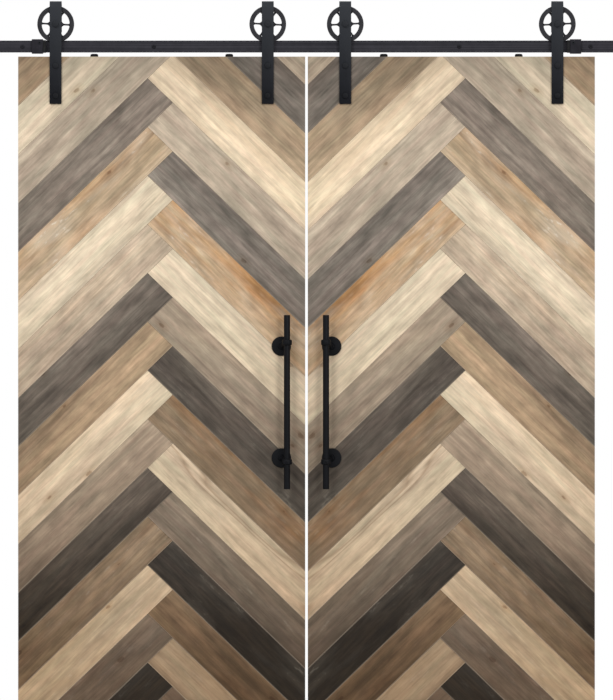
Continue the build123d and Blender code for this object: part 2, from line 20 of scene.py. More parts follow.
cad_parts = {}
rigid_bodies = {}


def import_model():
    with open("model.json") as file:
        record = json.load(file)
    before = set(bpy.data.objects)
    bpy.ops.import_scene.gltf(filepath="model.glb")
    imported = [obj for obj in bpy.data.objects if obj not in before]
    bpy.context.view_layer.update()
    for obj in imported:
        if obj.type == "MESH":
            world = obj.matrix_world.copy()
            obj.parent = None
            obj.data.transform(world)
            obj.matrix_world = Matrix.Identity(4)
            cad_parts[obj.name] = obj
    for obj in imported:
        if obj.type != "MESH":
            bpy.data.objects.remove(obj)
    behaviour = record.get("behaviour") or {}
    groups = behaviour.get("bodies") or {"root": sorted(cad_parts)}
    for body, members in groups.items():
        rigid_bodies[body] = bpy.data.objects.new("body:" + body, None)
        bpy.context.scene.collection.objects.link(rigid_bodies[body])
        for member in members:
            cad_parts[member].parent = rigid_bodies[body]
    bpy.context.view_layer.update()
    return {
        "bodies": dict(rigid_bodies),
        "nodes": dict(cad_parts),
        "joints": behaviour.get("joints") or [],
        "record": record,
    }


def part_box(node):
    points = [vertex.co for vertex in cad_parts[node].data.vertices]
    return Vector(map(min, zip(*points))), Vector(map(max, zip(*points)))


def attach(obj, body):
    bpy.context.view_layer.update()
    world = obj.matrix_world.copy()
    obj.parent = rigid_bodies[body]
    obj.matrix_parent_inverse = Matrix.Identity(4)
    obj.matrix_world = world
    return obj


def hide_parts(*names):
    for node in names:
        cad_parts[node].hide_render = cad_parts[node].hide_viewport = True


LOG = logging.getLogger("barn_doors")
MM = 0.001

BOARD_WIDTH = 111.6 * MM
BOARD_THICKNESS = 9.5 * MM
LEAF = 44.5 * MM
STRAP = 6.35 * MM
STRAP_GAP = 30.0 * MM

BOARD_UV = "board"
TINT_LAYER = "tint"
LOOK_LAYER = "look"
SEED_LAYER = "seed"
NOISE = (0.3, 0.7)

TONE_SWING = 0.04
WARMTH_SWING = 0.03
FIGURE_DRIFT = 0.3

CUT_SLACK = 1e-7
TOUCH = 1e-6
NEAR = 1e-5

VIEWER = Vector((0, -1, 0))
WALL = Vector((0, 1, 0))
UP = Vector((0, 0, 1))
ALONG_RAIL = Vector((1, 0, 0))

Rgb = tuple[int, int, int]
Pair = tuple[float, float]
Triple = tuple[float, float, float]
Colour = tuple[float, float, float, float]
Socket = bpy.types.NodeSocket
Material = bpy.types.Material
Mesh = bmesh.types.BMesh
Vert = bmesh.types.BMVert
Edge = bmesh.types.BMEdge
Profile = list[Pair]


def srgb(tone: Rgb) -> Colour:
    """Turn an 8-bit display colour into the linear colour that a shader takes.

    Args:
        tone: Red, green and blue from 0 to 255.

    Returns:
        The linear colour with an alpha of 1.
    """
    shares = [channel / 255 for channel in tone]
    linear = [share / 12.92 if share <= 0.04045 else ((share + 0.055) / 1.055) ** 2.4 for share in shares]
    return (*linear, 1.0)


class Side(Enum):
    """The two halves of the pair, seen from the front."""

    LEFT = -1
    RIGHT = 1

    @property
    def label(self) -> str:
        """The side's name as the CAD nodes spell it."""
        return self.name.lower()

    @property
    def door(self) -> str:
        """The body of the leaf on this side."""
        return f"{self.label}_door"


class Place(Enum):
    """The two hangers of a leaf."""

    OUTER = "outer"
    INNER = "inner"


class BoardLook(Enum):
    """What marks a board: how rusty, flecked and striped it is, and its shade against its neighbours."""

    PLAIN = (0.0, 0.05, 0.1, 1.0)
    RUSTED = (1.0, 0.9, 0.2, 1.04)
    WARM = (0.5, 1.0, 0.2, 1.04)
    SCORCHED = (0.7, 0.1, 0.3, 0.78)
    FLECKED = (0.0, 0.5, 0.4, 1.0)
    STRIPED = (0.0, 0.1, 1.0, 1.2)
    DEEP = (0.1, 0.1, 0.2, 0.80)
    PALE = (0.15, 0.15, 0.2, 1.12)

    @property
    def marks(self) -> Colour:
        """Rust, flecks and stripes, as one attribute's colour."""
        return (*self.value[:3], 1.0)

    @property
    def shade(self) -> float:
        """The board's lightness against its stain."""
        return self.value[3]


class Stain(Enum):
    """The four stains of the boards.

    Each has its full tone, its tone at the leaf's foot with painted shade, the heights in metres between which
    that painted shade fades, its share of knots and the strength of its figure.
    """

    BROWN = ((194, 169, 139), (96, 75, 54), (0.15, 1.55), 0.13, 1.3)
    CREAM = ((229, 212, 185), (162, 138, 109), (0.15, 1.4), 0.08, 1.0)
    TAUPE = ((194, 177, 156), (96, 79, 64), (0.15, 1.45), 0.13, 1.2)
    DARK = ((137, 127, 117), (40, 31, 21), (0.3, 1.75), 0.06, 1.6)

    @property
    def label(self) -> str:
        """The stain's name as the CAD nodes spell it."""
        return self.name.lower()

    @property
    def finish(self) -> StainedBoard:
        """The finish of a board in this stain."""
        return StainedBoard(f"board_{self.label}", *self.value)


class Lean(Enum):
    """The two ways that boards run down from the spine of a left leaf.

    Each has its sign along X, its order of stains from row 0, and the looks of the rows that aren't plain.
    """

    LEFT = (
        -1, (Stain.DARK, Stain.BROWN, Stain.CREAM, Stain.TAUPE),
        {-3: BoardLook.DEEP, 1: BoardLook.WARM, 2: BoardLook.FLECKED, 3: BoardLook.PALE, 6: BoardLook.PALE,
         9: BoardLook.PALE, 10: BoardLook.PALE, 11: BoardLook.PALE},
    )
    RIGHT = (
        1, (Stain.CREAM, Stain.TAUPE, Stain.DARK, Stain.BROWN),
        {-2: BoardLook.DEEP, -1: BoardLook.DEEP, 0: BoardLook.PALE, 3: BoardLook.RUSTED, 5: BoardLook.DEEP,
         6: BoardLook.DEEP, 7: BoardLook.SCORCHED, 8: BoardLook.STRIPED, 9: BoardLook.DEEP,
         10: BoardLook.DEEP, 12: BoardLook.DEEP, 13: BoardLook.PALE},
    )

    @property
    def sign(self) -> int:
        """-1 for boards that run down to the left, and 1 for the others."""
        return self.value[0]

    def stain(self, row: int) -> Stain:
        """The stain of a row's board."""
        order = self.value[1]
        return order[row % len(order)]

    def look(self, row: int) -> BoardLook:
        """The look of a row's board."""
        return self.value[2].get(row, BoardLook.PLAIN)


class NodeGraph:
    """The shader nodes of one material, with short words for the steps that most finishes share."""

    def __init__(self, material_name: str) -> None:
        """Start an empty node tree with its shader and output.

        Args:
            material_name: The new material's name.
        """
        self.material = bpy.data.materials.new(material_name)
        self.material.use_nodes = True
        self.tree = self.material.node_tree
        self.tree.nodes.clear()
        self.shader = self.add("ShaderNodeBsdfPrincipled")
        self.add("ShaderNodeOutputMaterial", {"Surface": self.shader.outputs["BSDF"]})

    def add(
        self, kind: str, feeds: dict[str | int, object] | None = None, **settings: object,
    ) -> bpy.types.Node:
        """Add a node, set its properties and feed its inputs.

        Args:
            kind: The node's type name.
            feeds: What each input takes, either a socket to link or a constant.
            **settings: Properties to set on the node.

        Returns:
            The new node.
        """
        node = self.tree.nodes.new(kind)
        for name, value in settings.items():
            setattr(node, name, value)
        for name, value in (feeds or {}).items():
            self.feed(node.inputs[name], value)
        return node

    def feed(self, socket: Socket, value: object) -> None:
        """Link a socket to another one, or set its constant.

        Args:
            socket: The input that is fed.
            value: The socket to link, or the constant.
        """
        if isinstance(value, bpy.types.NodeSocket):
            self.tree.links.new(value, socket)
        else:
            socket.default_value = value

    def math(self, operation: str, first: object, second: object = 0.0) -> Socket:
        """Add a math node and return its result."""
        return self.add("ShaderNodeMath", {0: first, 1: second}, operation=operation).outputs[0]

    def times(self, first: object, second: object) -> Socket:
        """Multiply two values."""
        return self.math("MULTIPLY", first, second)

    def plus(self, first: object, second: object) -> Socket:
        """Add two values."""
        return self.math("ADD", first, second)

    def minus(self, first: object, second: object) -> Socket:
        """Subtract one value from another."""
        return self.math("SUBTRACT", first, second)

    def mix(self, blend: str, share: object, first: object, second: object) -> Socket:
        """Add a colour mix node and return its result."""
        feeds = {"Factor": share, 6: first, 7: second}
        return self.add("ShaderNodeMix", feeds, data_type="RGBA", blend_type=blend).outputs[2]

    def between(self, share: object, start: Rgb, end: Rgb) -> Socket:
        """Go from one tone to another by a share."""
        return self.mix("MIX", share, srgb(start), srgb(end))

    def paint(self, share: object, colour: Socket, tone: Rgb) -> Socket:
        """Cover a colour by a share with an opaque tone."""
        return self.mix("MIX", share, colour, srgb(tone))

    def glaze(self, share: object, colour: Socket, tone: Rgb) -> Socket:
        """Cover a colour by a share with a see-through tone."""
        return self.mix("MULTIPLY", share, colour, srgb(tone))

    def filtered(self, colour: Socket, other: Socket) -> Socket:
        """Multiply a colour by another one."""
        return self.mix("MULTIPLY", 1.0, colour, other)

    def grey(self, value: object) -> Socket:
        """Turn a value into a grey colour."""
        feeds = dict.fromkeys(("Red", "Green", "Blue"), value)
        return self.add("ShaderNodeCombineColor", feeds).outputs["Color"]

    def spread(
        self, value: object, low: float, high: float, to_low: float = 0.0, to_high: float = 1.0,
    ) -> Socket:
        """Map a value from the range low to high to another range, clamped."""
        feeds = {"Value": value, "From Min": low, "From Max": high, "To Min": to_low, "To Max": to_high}
        return self.add("ShaderNodeMapRange", feeds).outputs["Result"]

    def noise(self, vector: Socket, scale: float, detail: float = 3.0, roughness: float = 0.5) -> Socket:
        """Add a noise texture and return its factor."""
        feeds = {"Vector": vector, "Scale": scale, "Detail": detail, "Roughness": roughness}
        return self.add("ShaderNodeTexNoise", feeds).outputs["Fac"]

    def stretched(self, vector: Socket, scale: Triple) -> Socket:
        """Scale a vector along each axis."""
        return self.add("ShaderNodeVectorMath", {0: vector, 1: scale}, operation="MULTIPLY").outputs[0]

    def parts(self, vector: Socket) -> tuple[Socket, Socket, Socket]:
        """Split a vector into its three parts."""
        return tuple(self.add("ShaderNodeSeparateXYZ", {"Vector": vector}).outputs)

    def attribute(self, name: str) -> Socket:
        """Read a colour attribute of the mesh."""
        return self.add("ShaderNodeAttribute", attribute_name=name).outputs["Color"]

    def object_place(self) -> Socket:
        """Read the Object coordinates."""
        return self.add("ShaderNodeTexCoord").outputs["Object"]

    def dress(self, colour: object, roughness: object, specular: float = 0.5) -> None:
        """Feed the shader's main inputs.

        Args:
            colour: Its base colour.
            roughness: Its roughness.
            specular: Its specular level.
        """
        feeds = {"Base Color": colour, "Roughness": roughness, "Specular IOR Level": specular}
        for name, value in feeds.items():
            self.feed(self.shader.inputs[name], value)

    def bump(self, height: Socket, strength: float, distance: float) -> None:
        """Feed a height to the shader's normal through a bump node."""
        relief = self.add("ShaderNodeBump", {"Height": height, "Strength": strength, "Distance": distance})
        self.feed(self.shader.inputs["Normal"], relief.outputs["Normal"])


@dataclass(frozen=True)
class Streaks:
    """One scale of soft streaks: how many fit a metre along and across the grain, and how they swing."""

    along: float
    across: float
    contrast: float = 0.0
    detail: float = 3.0
    roughness: float = 0.5


class BoardGraph(NodeGraph):
    """The shader nodes of a board, with its own coordinates and marks.

    U runs along the board and V across it from its upper edge, in metres.
    """

    seed_stretch = (7.0, 5.0, 9.0)

    def __init__(self, material_name: str) -> None:
        """Read the board's UV map and its attributes.

        Args:
            material_name: The new material's name.
        """
        super().__init__(material_name)
        self.grain = self.add("ShaderNodeUVMap", uv_map=BOARD_UV).outputs["UV"]
        self.across = self.parts(self.grain)[1]
        self.seed = self.stretched(self.attribute(SEED_LAYER), self.seed_stretch)
        self.rust, self.fleck, self.stripe = self.parts(self.attribute(LOOK_LAYER))

    def place(self, along: float, across: float) -> Socket:
        """The board's coordinates, moved by its seed and scaled along and across the grain."""
        shift = self.add("ShaderNodeVectorMath", {0: self.grain, 1: self.seed}, operation="ADD").outputs[0]
        return self.stretched(shift, (along, across, 1.0))

    def streaks(self, kind: Streaks, scale: float = 1.0) -> Socket:
        """Add a noise that is drawn out along the grain."""
        return self.noise(self.place(kind.along, kind.across), scale, kind.detail, kind.roughness)


@dataclass(frozen=True)
class StainedBoard:
    """The finish of a stained, weathered softwood board.

    Painted shade darkens the stain towards the leaf's foot and a little at its very top. Amounts are shares of
    1, and thresholds are shares of a noise's range.
    """

    name: str
    # The full tone is the stain's own; the foot tone is that stain with painted shade at the leaf's foot.
    full: Rgb
    foot: Rgb
    # The heights between which the painted shade at the foot fades out upwards.
    fade: Pair = (0.15, 1.4)
    knot_share: float = 0.13
    figure: float = 1.0
    # The curve of the painted foot shade, then the painted shade at the leaf's top: the colour darkens from the
    # first height up to the top, down to the last factor.
    fade_power: float = 1.12
    top_starts: float = 1880.0 * MM
    leaf_top: float = 2133.6 * MM
    top_shade: float = 0.66

    layers: tuple[Streaks, ...] = (
        Streaks(1.7, 14.0, 0.19),
        Streaks(4.5, 80.0, 0.14, 4.0),
        Streaks(14.0, 170.0, 0.10, 3.0),
        Streaks(26.0, 800.0, 0.05, 2.0),
        Streaks(15.0, 32.0, 0.16, 6.0),
    )
    hue: Streaks = Streaks(4.0, 40.0, detail=4.0, roughness=0.6)
    hue_reach: Pair = (0.34, 0.66)
    pink_cast: Rgb = (254, 247, 245)
    green_cast: Rgb = (248, 250, 246)

    knot_cells: Pair = (7.0, 13.0)
    knot_radii: Pair = (0.025, 0.09)
    knot_rim: Streaks = Streaks(90.0, 160.0, detail=2.0)
    knot_ragged: float = 0.02
    knot_core: Pair = (-0.02, 0.015)
    knot_halo: Pair = (-0.2, 0.0)
    knot_strength: float = 0.5
    knot_tone: Rgb = (160, 138, 118)
    halo_strength: float = 0.35
    halo_tone: Rgb = (206, 186, 164)

    rings_per_metre: float = 105.0
    ring_bend: Streaks = Streaks(1.1, 5.0, detail=2.0)
    ring_bend_turns: float = 4.5
    ring_halo_turns: float = 0.8
    ring_areas: Streaks = Streaks(2.2, 9.0, detail=2.0)
    ring_areas_scale: float = 1.3
    ring_reach: Pair = (0.4, 0.62)
    ring_strength: float = 0.02

    stripe_slope: Streaks = Streaks(0.9, 9.0, detail=2.0)
    stripe_offset: float = 0.03
    stripe_width: float = 0.02
    stripe_strength: float = 0.42
    stripe_tone: Rgb = (150, 122, 96)

    rust_patches: Streaks = Streaks(4.0, 18.0, detail=6.0, roughness=0.6)
    rust_edge: Pair = (6.0 * MM, 66.0 * MM)
    rust_lift: Pair = (0.14, -0.05)
    rust_reach: Pair = (0.46, 0.72)
    rust_tone: Rgb = (250, 219, 182)

    flecks: Streaks = Streaks(26.0, 80.0, detail=6.0, roughness=0.62)
    fleck_reach: Pair = (0.57, 0.68)
    fleck_areas: Streaks = Streaks(5.0, 20.0, detail=4.0)
    fleck_area_reach: Pair = (0.5, 0.64)
    fleck_strength: float = 0.6
    wash_reach: Pair = (0.48, 0.74)
    wash_strength: float = 0.3
    wash_tone: Rgb = (233, 222, 203)

    # Lighter strips along both edges: partly rubbed wear, partly a painted highlight, wider along the lower
    # edge.
    worn_upper: Pair = (0.6 * MM, 2.0 * MM)
    worn_lower: Pair = (BOARD_WIDTH - 3.2 * MM, BOARD_WIDTH - 1.2 * MM)
    worn_strength: float = 0.18
    worn_tone: Rgb = (222, 206, 184)

    roughness: float = 0.72
    specular: float = 0.22
    relief_strength: float = 0.45
    relief: float = 0.6 * MM

    def material(self) -> Material:
        """Build the material.

        Returns:
            The material, which reads Object coordinates, the boards' UV map and their attributes.
        """
        graph = BoardGraph(self.name)
        noises = [graph.streaks(layer) for layer in self.layers]
        shade: object = 1.0
        for layer, noise in zip(self.layers, noises):
            reach = layer.contrast * self.figure
            shade = graph.times(shade, graph.spread(noise, *NOISE, 1.0 - reach, 1.0 + reach))
        knots, halo = self.knots(graph)
        shade = graph.times(shade, self.rings(graph, halo))

        colour = graph.filtered(self.faded_stain(graph), graph.attribute(TINT_LAYER))
        colour = graph.filtered(colour, graph.grey(shade))
        hue = graph.spread(graph.streaks(self.hue), *self.hue_reach)
        colour = graph.filtered(colour, graph.between(hue, self.pink_cast, self.green_cast))
        for mark in (self.striped, self.rusted, self.flecked):
            colour = mark(graph, colour)
        colour = graph.glaze(graph.times(halo, self.halo_strength), colour, self.halo_tone)
        colour = graph.glaze(graph.times(knots, self.knot_strength), colour, self.knot_tone)
        # Lighter edges: partly wear, partly a painted highlight.
        colour = graph.paint(self.worn_edges(graph), colour, self.worn_tone)

        pores, hairlines = noises[2:4]
        rough = graph.spread(pores, 0.2, 0.8, self.roughness + 0.1, self.roughness - 0.06)
        graph.dress(colour, rough, self.specular)
        relief = graph.plus(graph.times(pores, 0.7), graph.times(hairlines, 0.3))
        graph.bump(graph.minus(relief, graph.times(knots, 0.5)), self.relief_strength, self.relief)
        return graph.material

    def faded_stain(self, graph: BoardGraph) -> Socket:
        """Blend the stain's own tone with its painted shade by height, and paint shade on the leaf's top.

        Args:
            graph: The board's shader nodes.

        Returns:
            The stain's colour with its painted shade at each height.
        """
        height = graph.parts(graph.object_place())[2]
        # Painted shade: darker towards the leaf's foot, and darker again near its top.
        share = graph.math("POWER", graph.spread(height, *self.fade), self.fade_power)
        top = graph.spread(height, self.top_starts, self.leaf_top, 1.0, self.top_shade)
        return graph.filtered(graph.between(share, self.foot, self.full), graph.grey(top))

    def knots(self, graph: BoardGraph) -> tuple[Socket, Socket]:
        """Add scattered oval knots, drawn out along the grain.

        Args:
            graph: The board's shader nodes.

        Returns:
            The knots' cores and the wider halos round them, each from 0 to 1.
        """
        feeds = {"Vector": graph.place(*self.knot_cells), "Scale": 1.0}
        cells = graph.add("ShaderNodeTexVoronoi", feeds, feature="F1", voronoi_dimensions="2D")
        chance, size, _ = graph.parts(cells.outputs["Color"])
        chosen = graph.math("LESS_THAN", chance, self.knot_share)
        ragged = graph.spread(graph.streaks(self.knot_rim), *NOISE, -self.knot_ragged, self.knot_ragged)
        reach = graph.plus(cells.outputs["Distance"], ragged)
        inside = graph.minus(graph.spread(size, 0.0, 1.0, *self.knot_radii), reach)
        core = graph.times(graph.spread(inside, *self.knot_core), chosen)
        return core, graph.times(graph.spread(inside, *self.knot_halo), chosen)

    def rings(self, graph: BoardGraph, halo: Socket) -> Socket:
        """Add faint growth-ring lines, bent slightly by a slow noise and round the knots.

        Args:
            graph: The board's shader nodes.
            halo: The surroundings of the knots.

        Returns:
            A shade close to 1.
        """
        turns = graph.times(graph.parts(graph.place(1.0, 1.0))[1], self.rings_per_metre)
        turns = graph.plus(turns, graph.times(graph.streaks(self.ring_bend), self.ring_bend_turns))
        turns = graph.plus(turns, graph.times(halo, self.ring_halo_turns))
        wave = graph.math("SINE", graph.times(turns, 2 * math.pi))
        areas = graph.streaks(self.ring_areas, self.ring_areas_scale)
        strength = graph.spread(areas, *self.ring_reach, 0.0, self.ring_strength)
        return graph.plus(1.0, graph.times(wave, strength))

    def striped(self, graph: BoardGraph, colour: Socket) -> Socket:
        """Draw pairs of thin brown lines along the grain, round the slopes of a slow noise.

        Args:
            graph: The board's shader nodes.
            colour: The colour under the lines.

        Returns:
            The colour with its lines.
        """
        away = graph.math("ABSOLUTE", graph.minus(graph.streaks(self.stripe_slope), 0.5))
        off_line = graph.math("ABSOLUTE", graph.minus(away, self.stripe_offset))
        line = graph.spread(off_line, 0.0, self.stripe_width, self.stripe_strength, 0.0)
        return graph.glaze(graph.times(line, graph.stripe), colour, self.stripe_tone)

    def rusted(self, graph: BoardGraph, colour: Socket) -> Socket:
        """Warm a board with orange patches, most along its upper edge.

        Args:
            graph: The board's shader nodes.
            colour: The colour under the rust.

        Returns:
            The colour with its rust.
        """
        edge = graph.spread(graph.across, *self.rust_edge, *self.rust_lift)
        reach = graph.spread(graph.plus(graph.streaks(self.rust_patches), edge), *self.rust_reach)
        return graph.glaze(graph.times(reach, graph.rust), colour, self.rust_tone)

    def flecked(self, graph: BoardGraph, colour: Socket) -> Socket:
        """Scatter light flecks and faint clouds of old whitewash.

        Args:
            graph: The board's shader nodes.
            colour: The colour under the flecks.

        Returns:
            The colour with its flecks.
        """
        areas = graph.streaks(self.fleck_areas)
        spots = graph.spread(graph.streaks(self.flecks), *self.fleck_reach)
        spots = graph.times(spots, graph.spread(areas, *self.fleck_area_reach))
        clouds = graph.spread(areas, *self.wash_reach, 0.0, self.wash_strength)
        cover = graph.plus(graph.times(spots, self.fleck_strength), clouds)
        return graph.paint(graph.times(cover, graph.fleck), colour, self.wash_tone)

    def worn_edges(self, graph: BoardGraph) -> Socket:
        """Find the lighter strips along a board's two edges: partly rubbed wear, partly a painted highlight."""
        upper = graph.spread(graph.across, *self.worn_upper, self.worn_strength, 0.0)
        return graph.plus(upper, graph.spread(graph.across, *self.worn_lower, 0.0, self.worn_strength))


@dataclass(frozen=True)
class Plywood:
    """Sealed plywood: an upright face figure, and dark and light plies on its edges."""

    name: str
    front: float
    ply: float = 2.6 * MM
    figure: Triple = (26.0, 26.0, 1.6)
    figure_reach: Pair = (0.32, 0.68)
    pores: Triple = (520.0, 520.0, 22.0)
    pore_reach: Pair = (0.35, 0.65)
    pore_strength: float = 0.35
    glue_reach: Pair = (-0.25, 0.25)
    glue_strength: float = 0.55
    late_wood: Rgb = (176, 142, 100)
    early_wood: Rgb = (214, 184, 142)
    pore_tone: Rgb = (150, 120, 88)
    glue_tone: Rgb = (140, 104, 70)

    def material(self) -> Material:
        """Build the material.

        Returns:
            The material, which reads Object coordinates.
        """
        graph = NodeGraph(self.name)
        place = graph.object_place()
        figure = graph.noise(graph.stretched(place, self.figure), 1.0, 5.0)
        pores = graph.noise(graph.stretched(place, self.pores), 1.0, 2.0)
        face = graph.between(graph.spread(figure, *self.figure_reach), self.late_wood, self.early_wood)
        open_pores = graph.spread(pores, *self.pore_reach, self.pore_strength, 0.0)
        face = graph.glaze(open_pores, face, self.pore_tone)
        depth = graph.minus(graph.parts(place)[1], self.front)
        wave = graph.math("SINE", graph.times(depth, math.pi / self.ply))
        plies = graph.spread(wave, *self.glue_reach, 0.0, self.glue_strength)
        facing = graph.parts(graph.add("ShaderNodeTexCoord").outputs["Normal"])[1]
        edge_plies = graph.times(plies, graph.math("LESS_THAN", graph.math("ABSOLUTE", facing), 0.5))
        colour = graph.glaze(edge_plies, face, self.glue_tone)
        graph.dress(colour, graph.spread(figure, *NOISE, 0.62, 0.5), 0.3)
        graph.bump(graph.plus(pores, edge_plies), 0.2, 0.2 * MM)
        return graph.material


@dataclass(frozen=True)
class PowderCoat:
    """A black powder coat on steel, with a fine pebbled skin.

    It may have a painted highlight above a height, and be drawn with faint lines along the rail.
    """

    name: str
    dark: Rgb = (10, 11, 15)
    light: Rgb = (21, 22, 27)
    roughness: float = 0.52
    specular: float = 0.09
    clouds: float = 34.0
    pebble: float = 1100.0
    pebble_strength: float = 0.3
    drawn: float = 0.0
    drawn_lines: Triple = (1.4, 40.0, 330.0)
    # A painted highlight: the coat is painted lighter above a height, by this share, towards this tone.
    lift: float = 0.0
    lift_heights: Pair = (1980.0 * MM, 2310.0 * MM)
    lift_tone: Rgb = (58, 61, 66)

    def material(self) -> Material:
        """Build the material.

        Returns:
            The material, which reads Object coordinates.
        """
        graph = NodeGraph(self.name)
        place = graph.object_place()
        cloud = graph.noise(place, self.clouds, 4.0, 0.6)
        speck = graph.noise(place, self.pebble * 0.5, 2.0)
        amount = graph.plus(graph.times(cloud, 0.55), graph.times(speck, 0.45))
        if self.drawn:
            lines = graph.noise(graph.stretched(place, self.drawn_lines), 1.0)
            amount = graph.plus(graph.times(amount, 1.0 - self.drawn), graph.times(lines, self.drawn))
        colour = graph.between(graph.spread(amount, 0.34, 0.66), self.dark, self.light)
        # Painted highlight: lighter above a height.
        if self.lift:
            share = graph.spread(graph.parts(place)[2], *self.lift_heights, 0.0, self.lift)
            colour = graph.paint(share, colour, self.lift_tone)
        rough = graph.spread(speck, *NOISE, self.roughness - 0.06, self.roughness + 0.12)
        graph.dress(colour, rough, self.specular)
        graph.bump(graph.noise(place, self.pebble, 2.0), self.pebble_strength, 0.2 * MM)
        return graph.material


@dataclass(frozen=True)
class PlatedSteel:
    """Zinc plated steel, for bearings and sleeves."""

    name: str
    dull: Rgb = (182, 184, 188)
    bright: Rgb = (206, 206, 202)
    roughness: float = 0.34

    def material(self) -> Material:
        """Build the material.

        Returns:
            The material, which reads Object coordinates.
        """
        graph = NodeGraph(self.name)
        smear = graph.noise(graph.object_place(), 180.0, 4.0, 0.6)
        rough = graph.spread(smear, *NOISE, self.roughness - 0.08, self.roughness + 0.12)
        graph.dress(graph.between(graph.spread(smear, *NOISE), self.dull, self.bright), rough)
        graph.shader.inputs["Metallic"].default_value = 1.0
        graph.bump(smear, 0.08, 0.1 * MM)
        return graph.material


@dataclass(frozen=True)
class MattRubber:
    """Black rubber with a faint bloom."""

    name: str
    black: Rgb = (19, 19, 20)
    bloom: Rgb = (36, 36, 37)

    def material(self) -> Material:
        """Build the material.

        Returns:
            The material, which reads Object coordinates.
        """
        graph = NodeGraph(self.name)
        place = graph.object_place()
        share = graph.spread(graph.noise(place, 70.0, 4.0, 0.6), 0.35, 0.7)
        graph.dress(graph.between(share, self.black, self.bloom), 0.85, 0.2)
        graph.bump(graph.noise(place, 600.0, 2.0), 0.15, 0.2 * MM)
        return graph.material


class Finishes:
    """Every material of the pair, built once."""

    def __init__(self, front: float) -> None:
        """Build the materials.

        Args:
            front: The Y of the doors' front face.
        """
        backing = (170, 138, 102)
        bolt = {"roughness": 0.45, "specular": 0.1, "pebble_strength": 0.15}
        self.boards = {stain: stain.finish.material() for stain in Stain}
        self.backing = StainedBoard(
            "backing_boards", backing, backing, knot_share=0.12, top_shade=1.0,
        ).material()
        self.plywood = Plywood("plywood_panel", front + BOARD_THICKNESS).material()
        # The strap coat takes a painted highlight above a height.
        self.strap = PowderCoat("strap_coat", lift=0.75).material()
        self.rail = PowderCoat("rail_coat", (31, 31, 36), (60, 59, 65), drawn=0.6).material()
        self.wheel = PowderCoat("wheel_coat", (38, 38, 41), (60, 60, 64), roughness=0.56).material()
        self.stop = PowderCoat("stop_coat", (28, 27, 32), (46, 45, 51)).material()
        self.handle = PowderCoat("handle_coat", (8, 9, 12), (16, 17, 21), roughness=0.42).material()
        # The bolt coat takes a painted highlight above a height.
        self.bolt = PowderCoat("bolt_coat", (9, 10, 13), (20, 21, 25), lift=0.5, **bolt).material()
        self.rail_bolt = PowderCoat("rail_bolt_coat", (20, 20, 24), (38, 38, 43), **bolt).material()
        self.steel = PlatedSteel("plated_steel").material()
        self.rubber = MattRubber("bumper_rubber").material()


@dataclass(frozen=True)
class SocketHead:
    """The sizes of a round head with a hex socket in its face."""

    diameter: float
    height: float
    socket: float
    depth: float
    rounding: float


def of_kind(items: list, kind: type) -> list:
    """Pick the elements of one kind from a bmesh operator's result."""
    return [item for item in items if isinstance(item, kind)]


def section(inner: float, outer: float, low: float, high: float) -> Profile:
    """The profile of a turned rod or tube, as radius and distance along the axis."""
    return [(inner, low), (outer, low), (outer, high), (inner, high)]


def on_circle(vert: Vert, radius: float, along: float) -> bool:
    """Tell whether a vertex lies on a circle about the Z axis."""
    return abs(math.hypot(vert.co.x, vert.co.y) - radius) < NEAR and abs(vert.co.z - along) < TOUCH


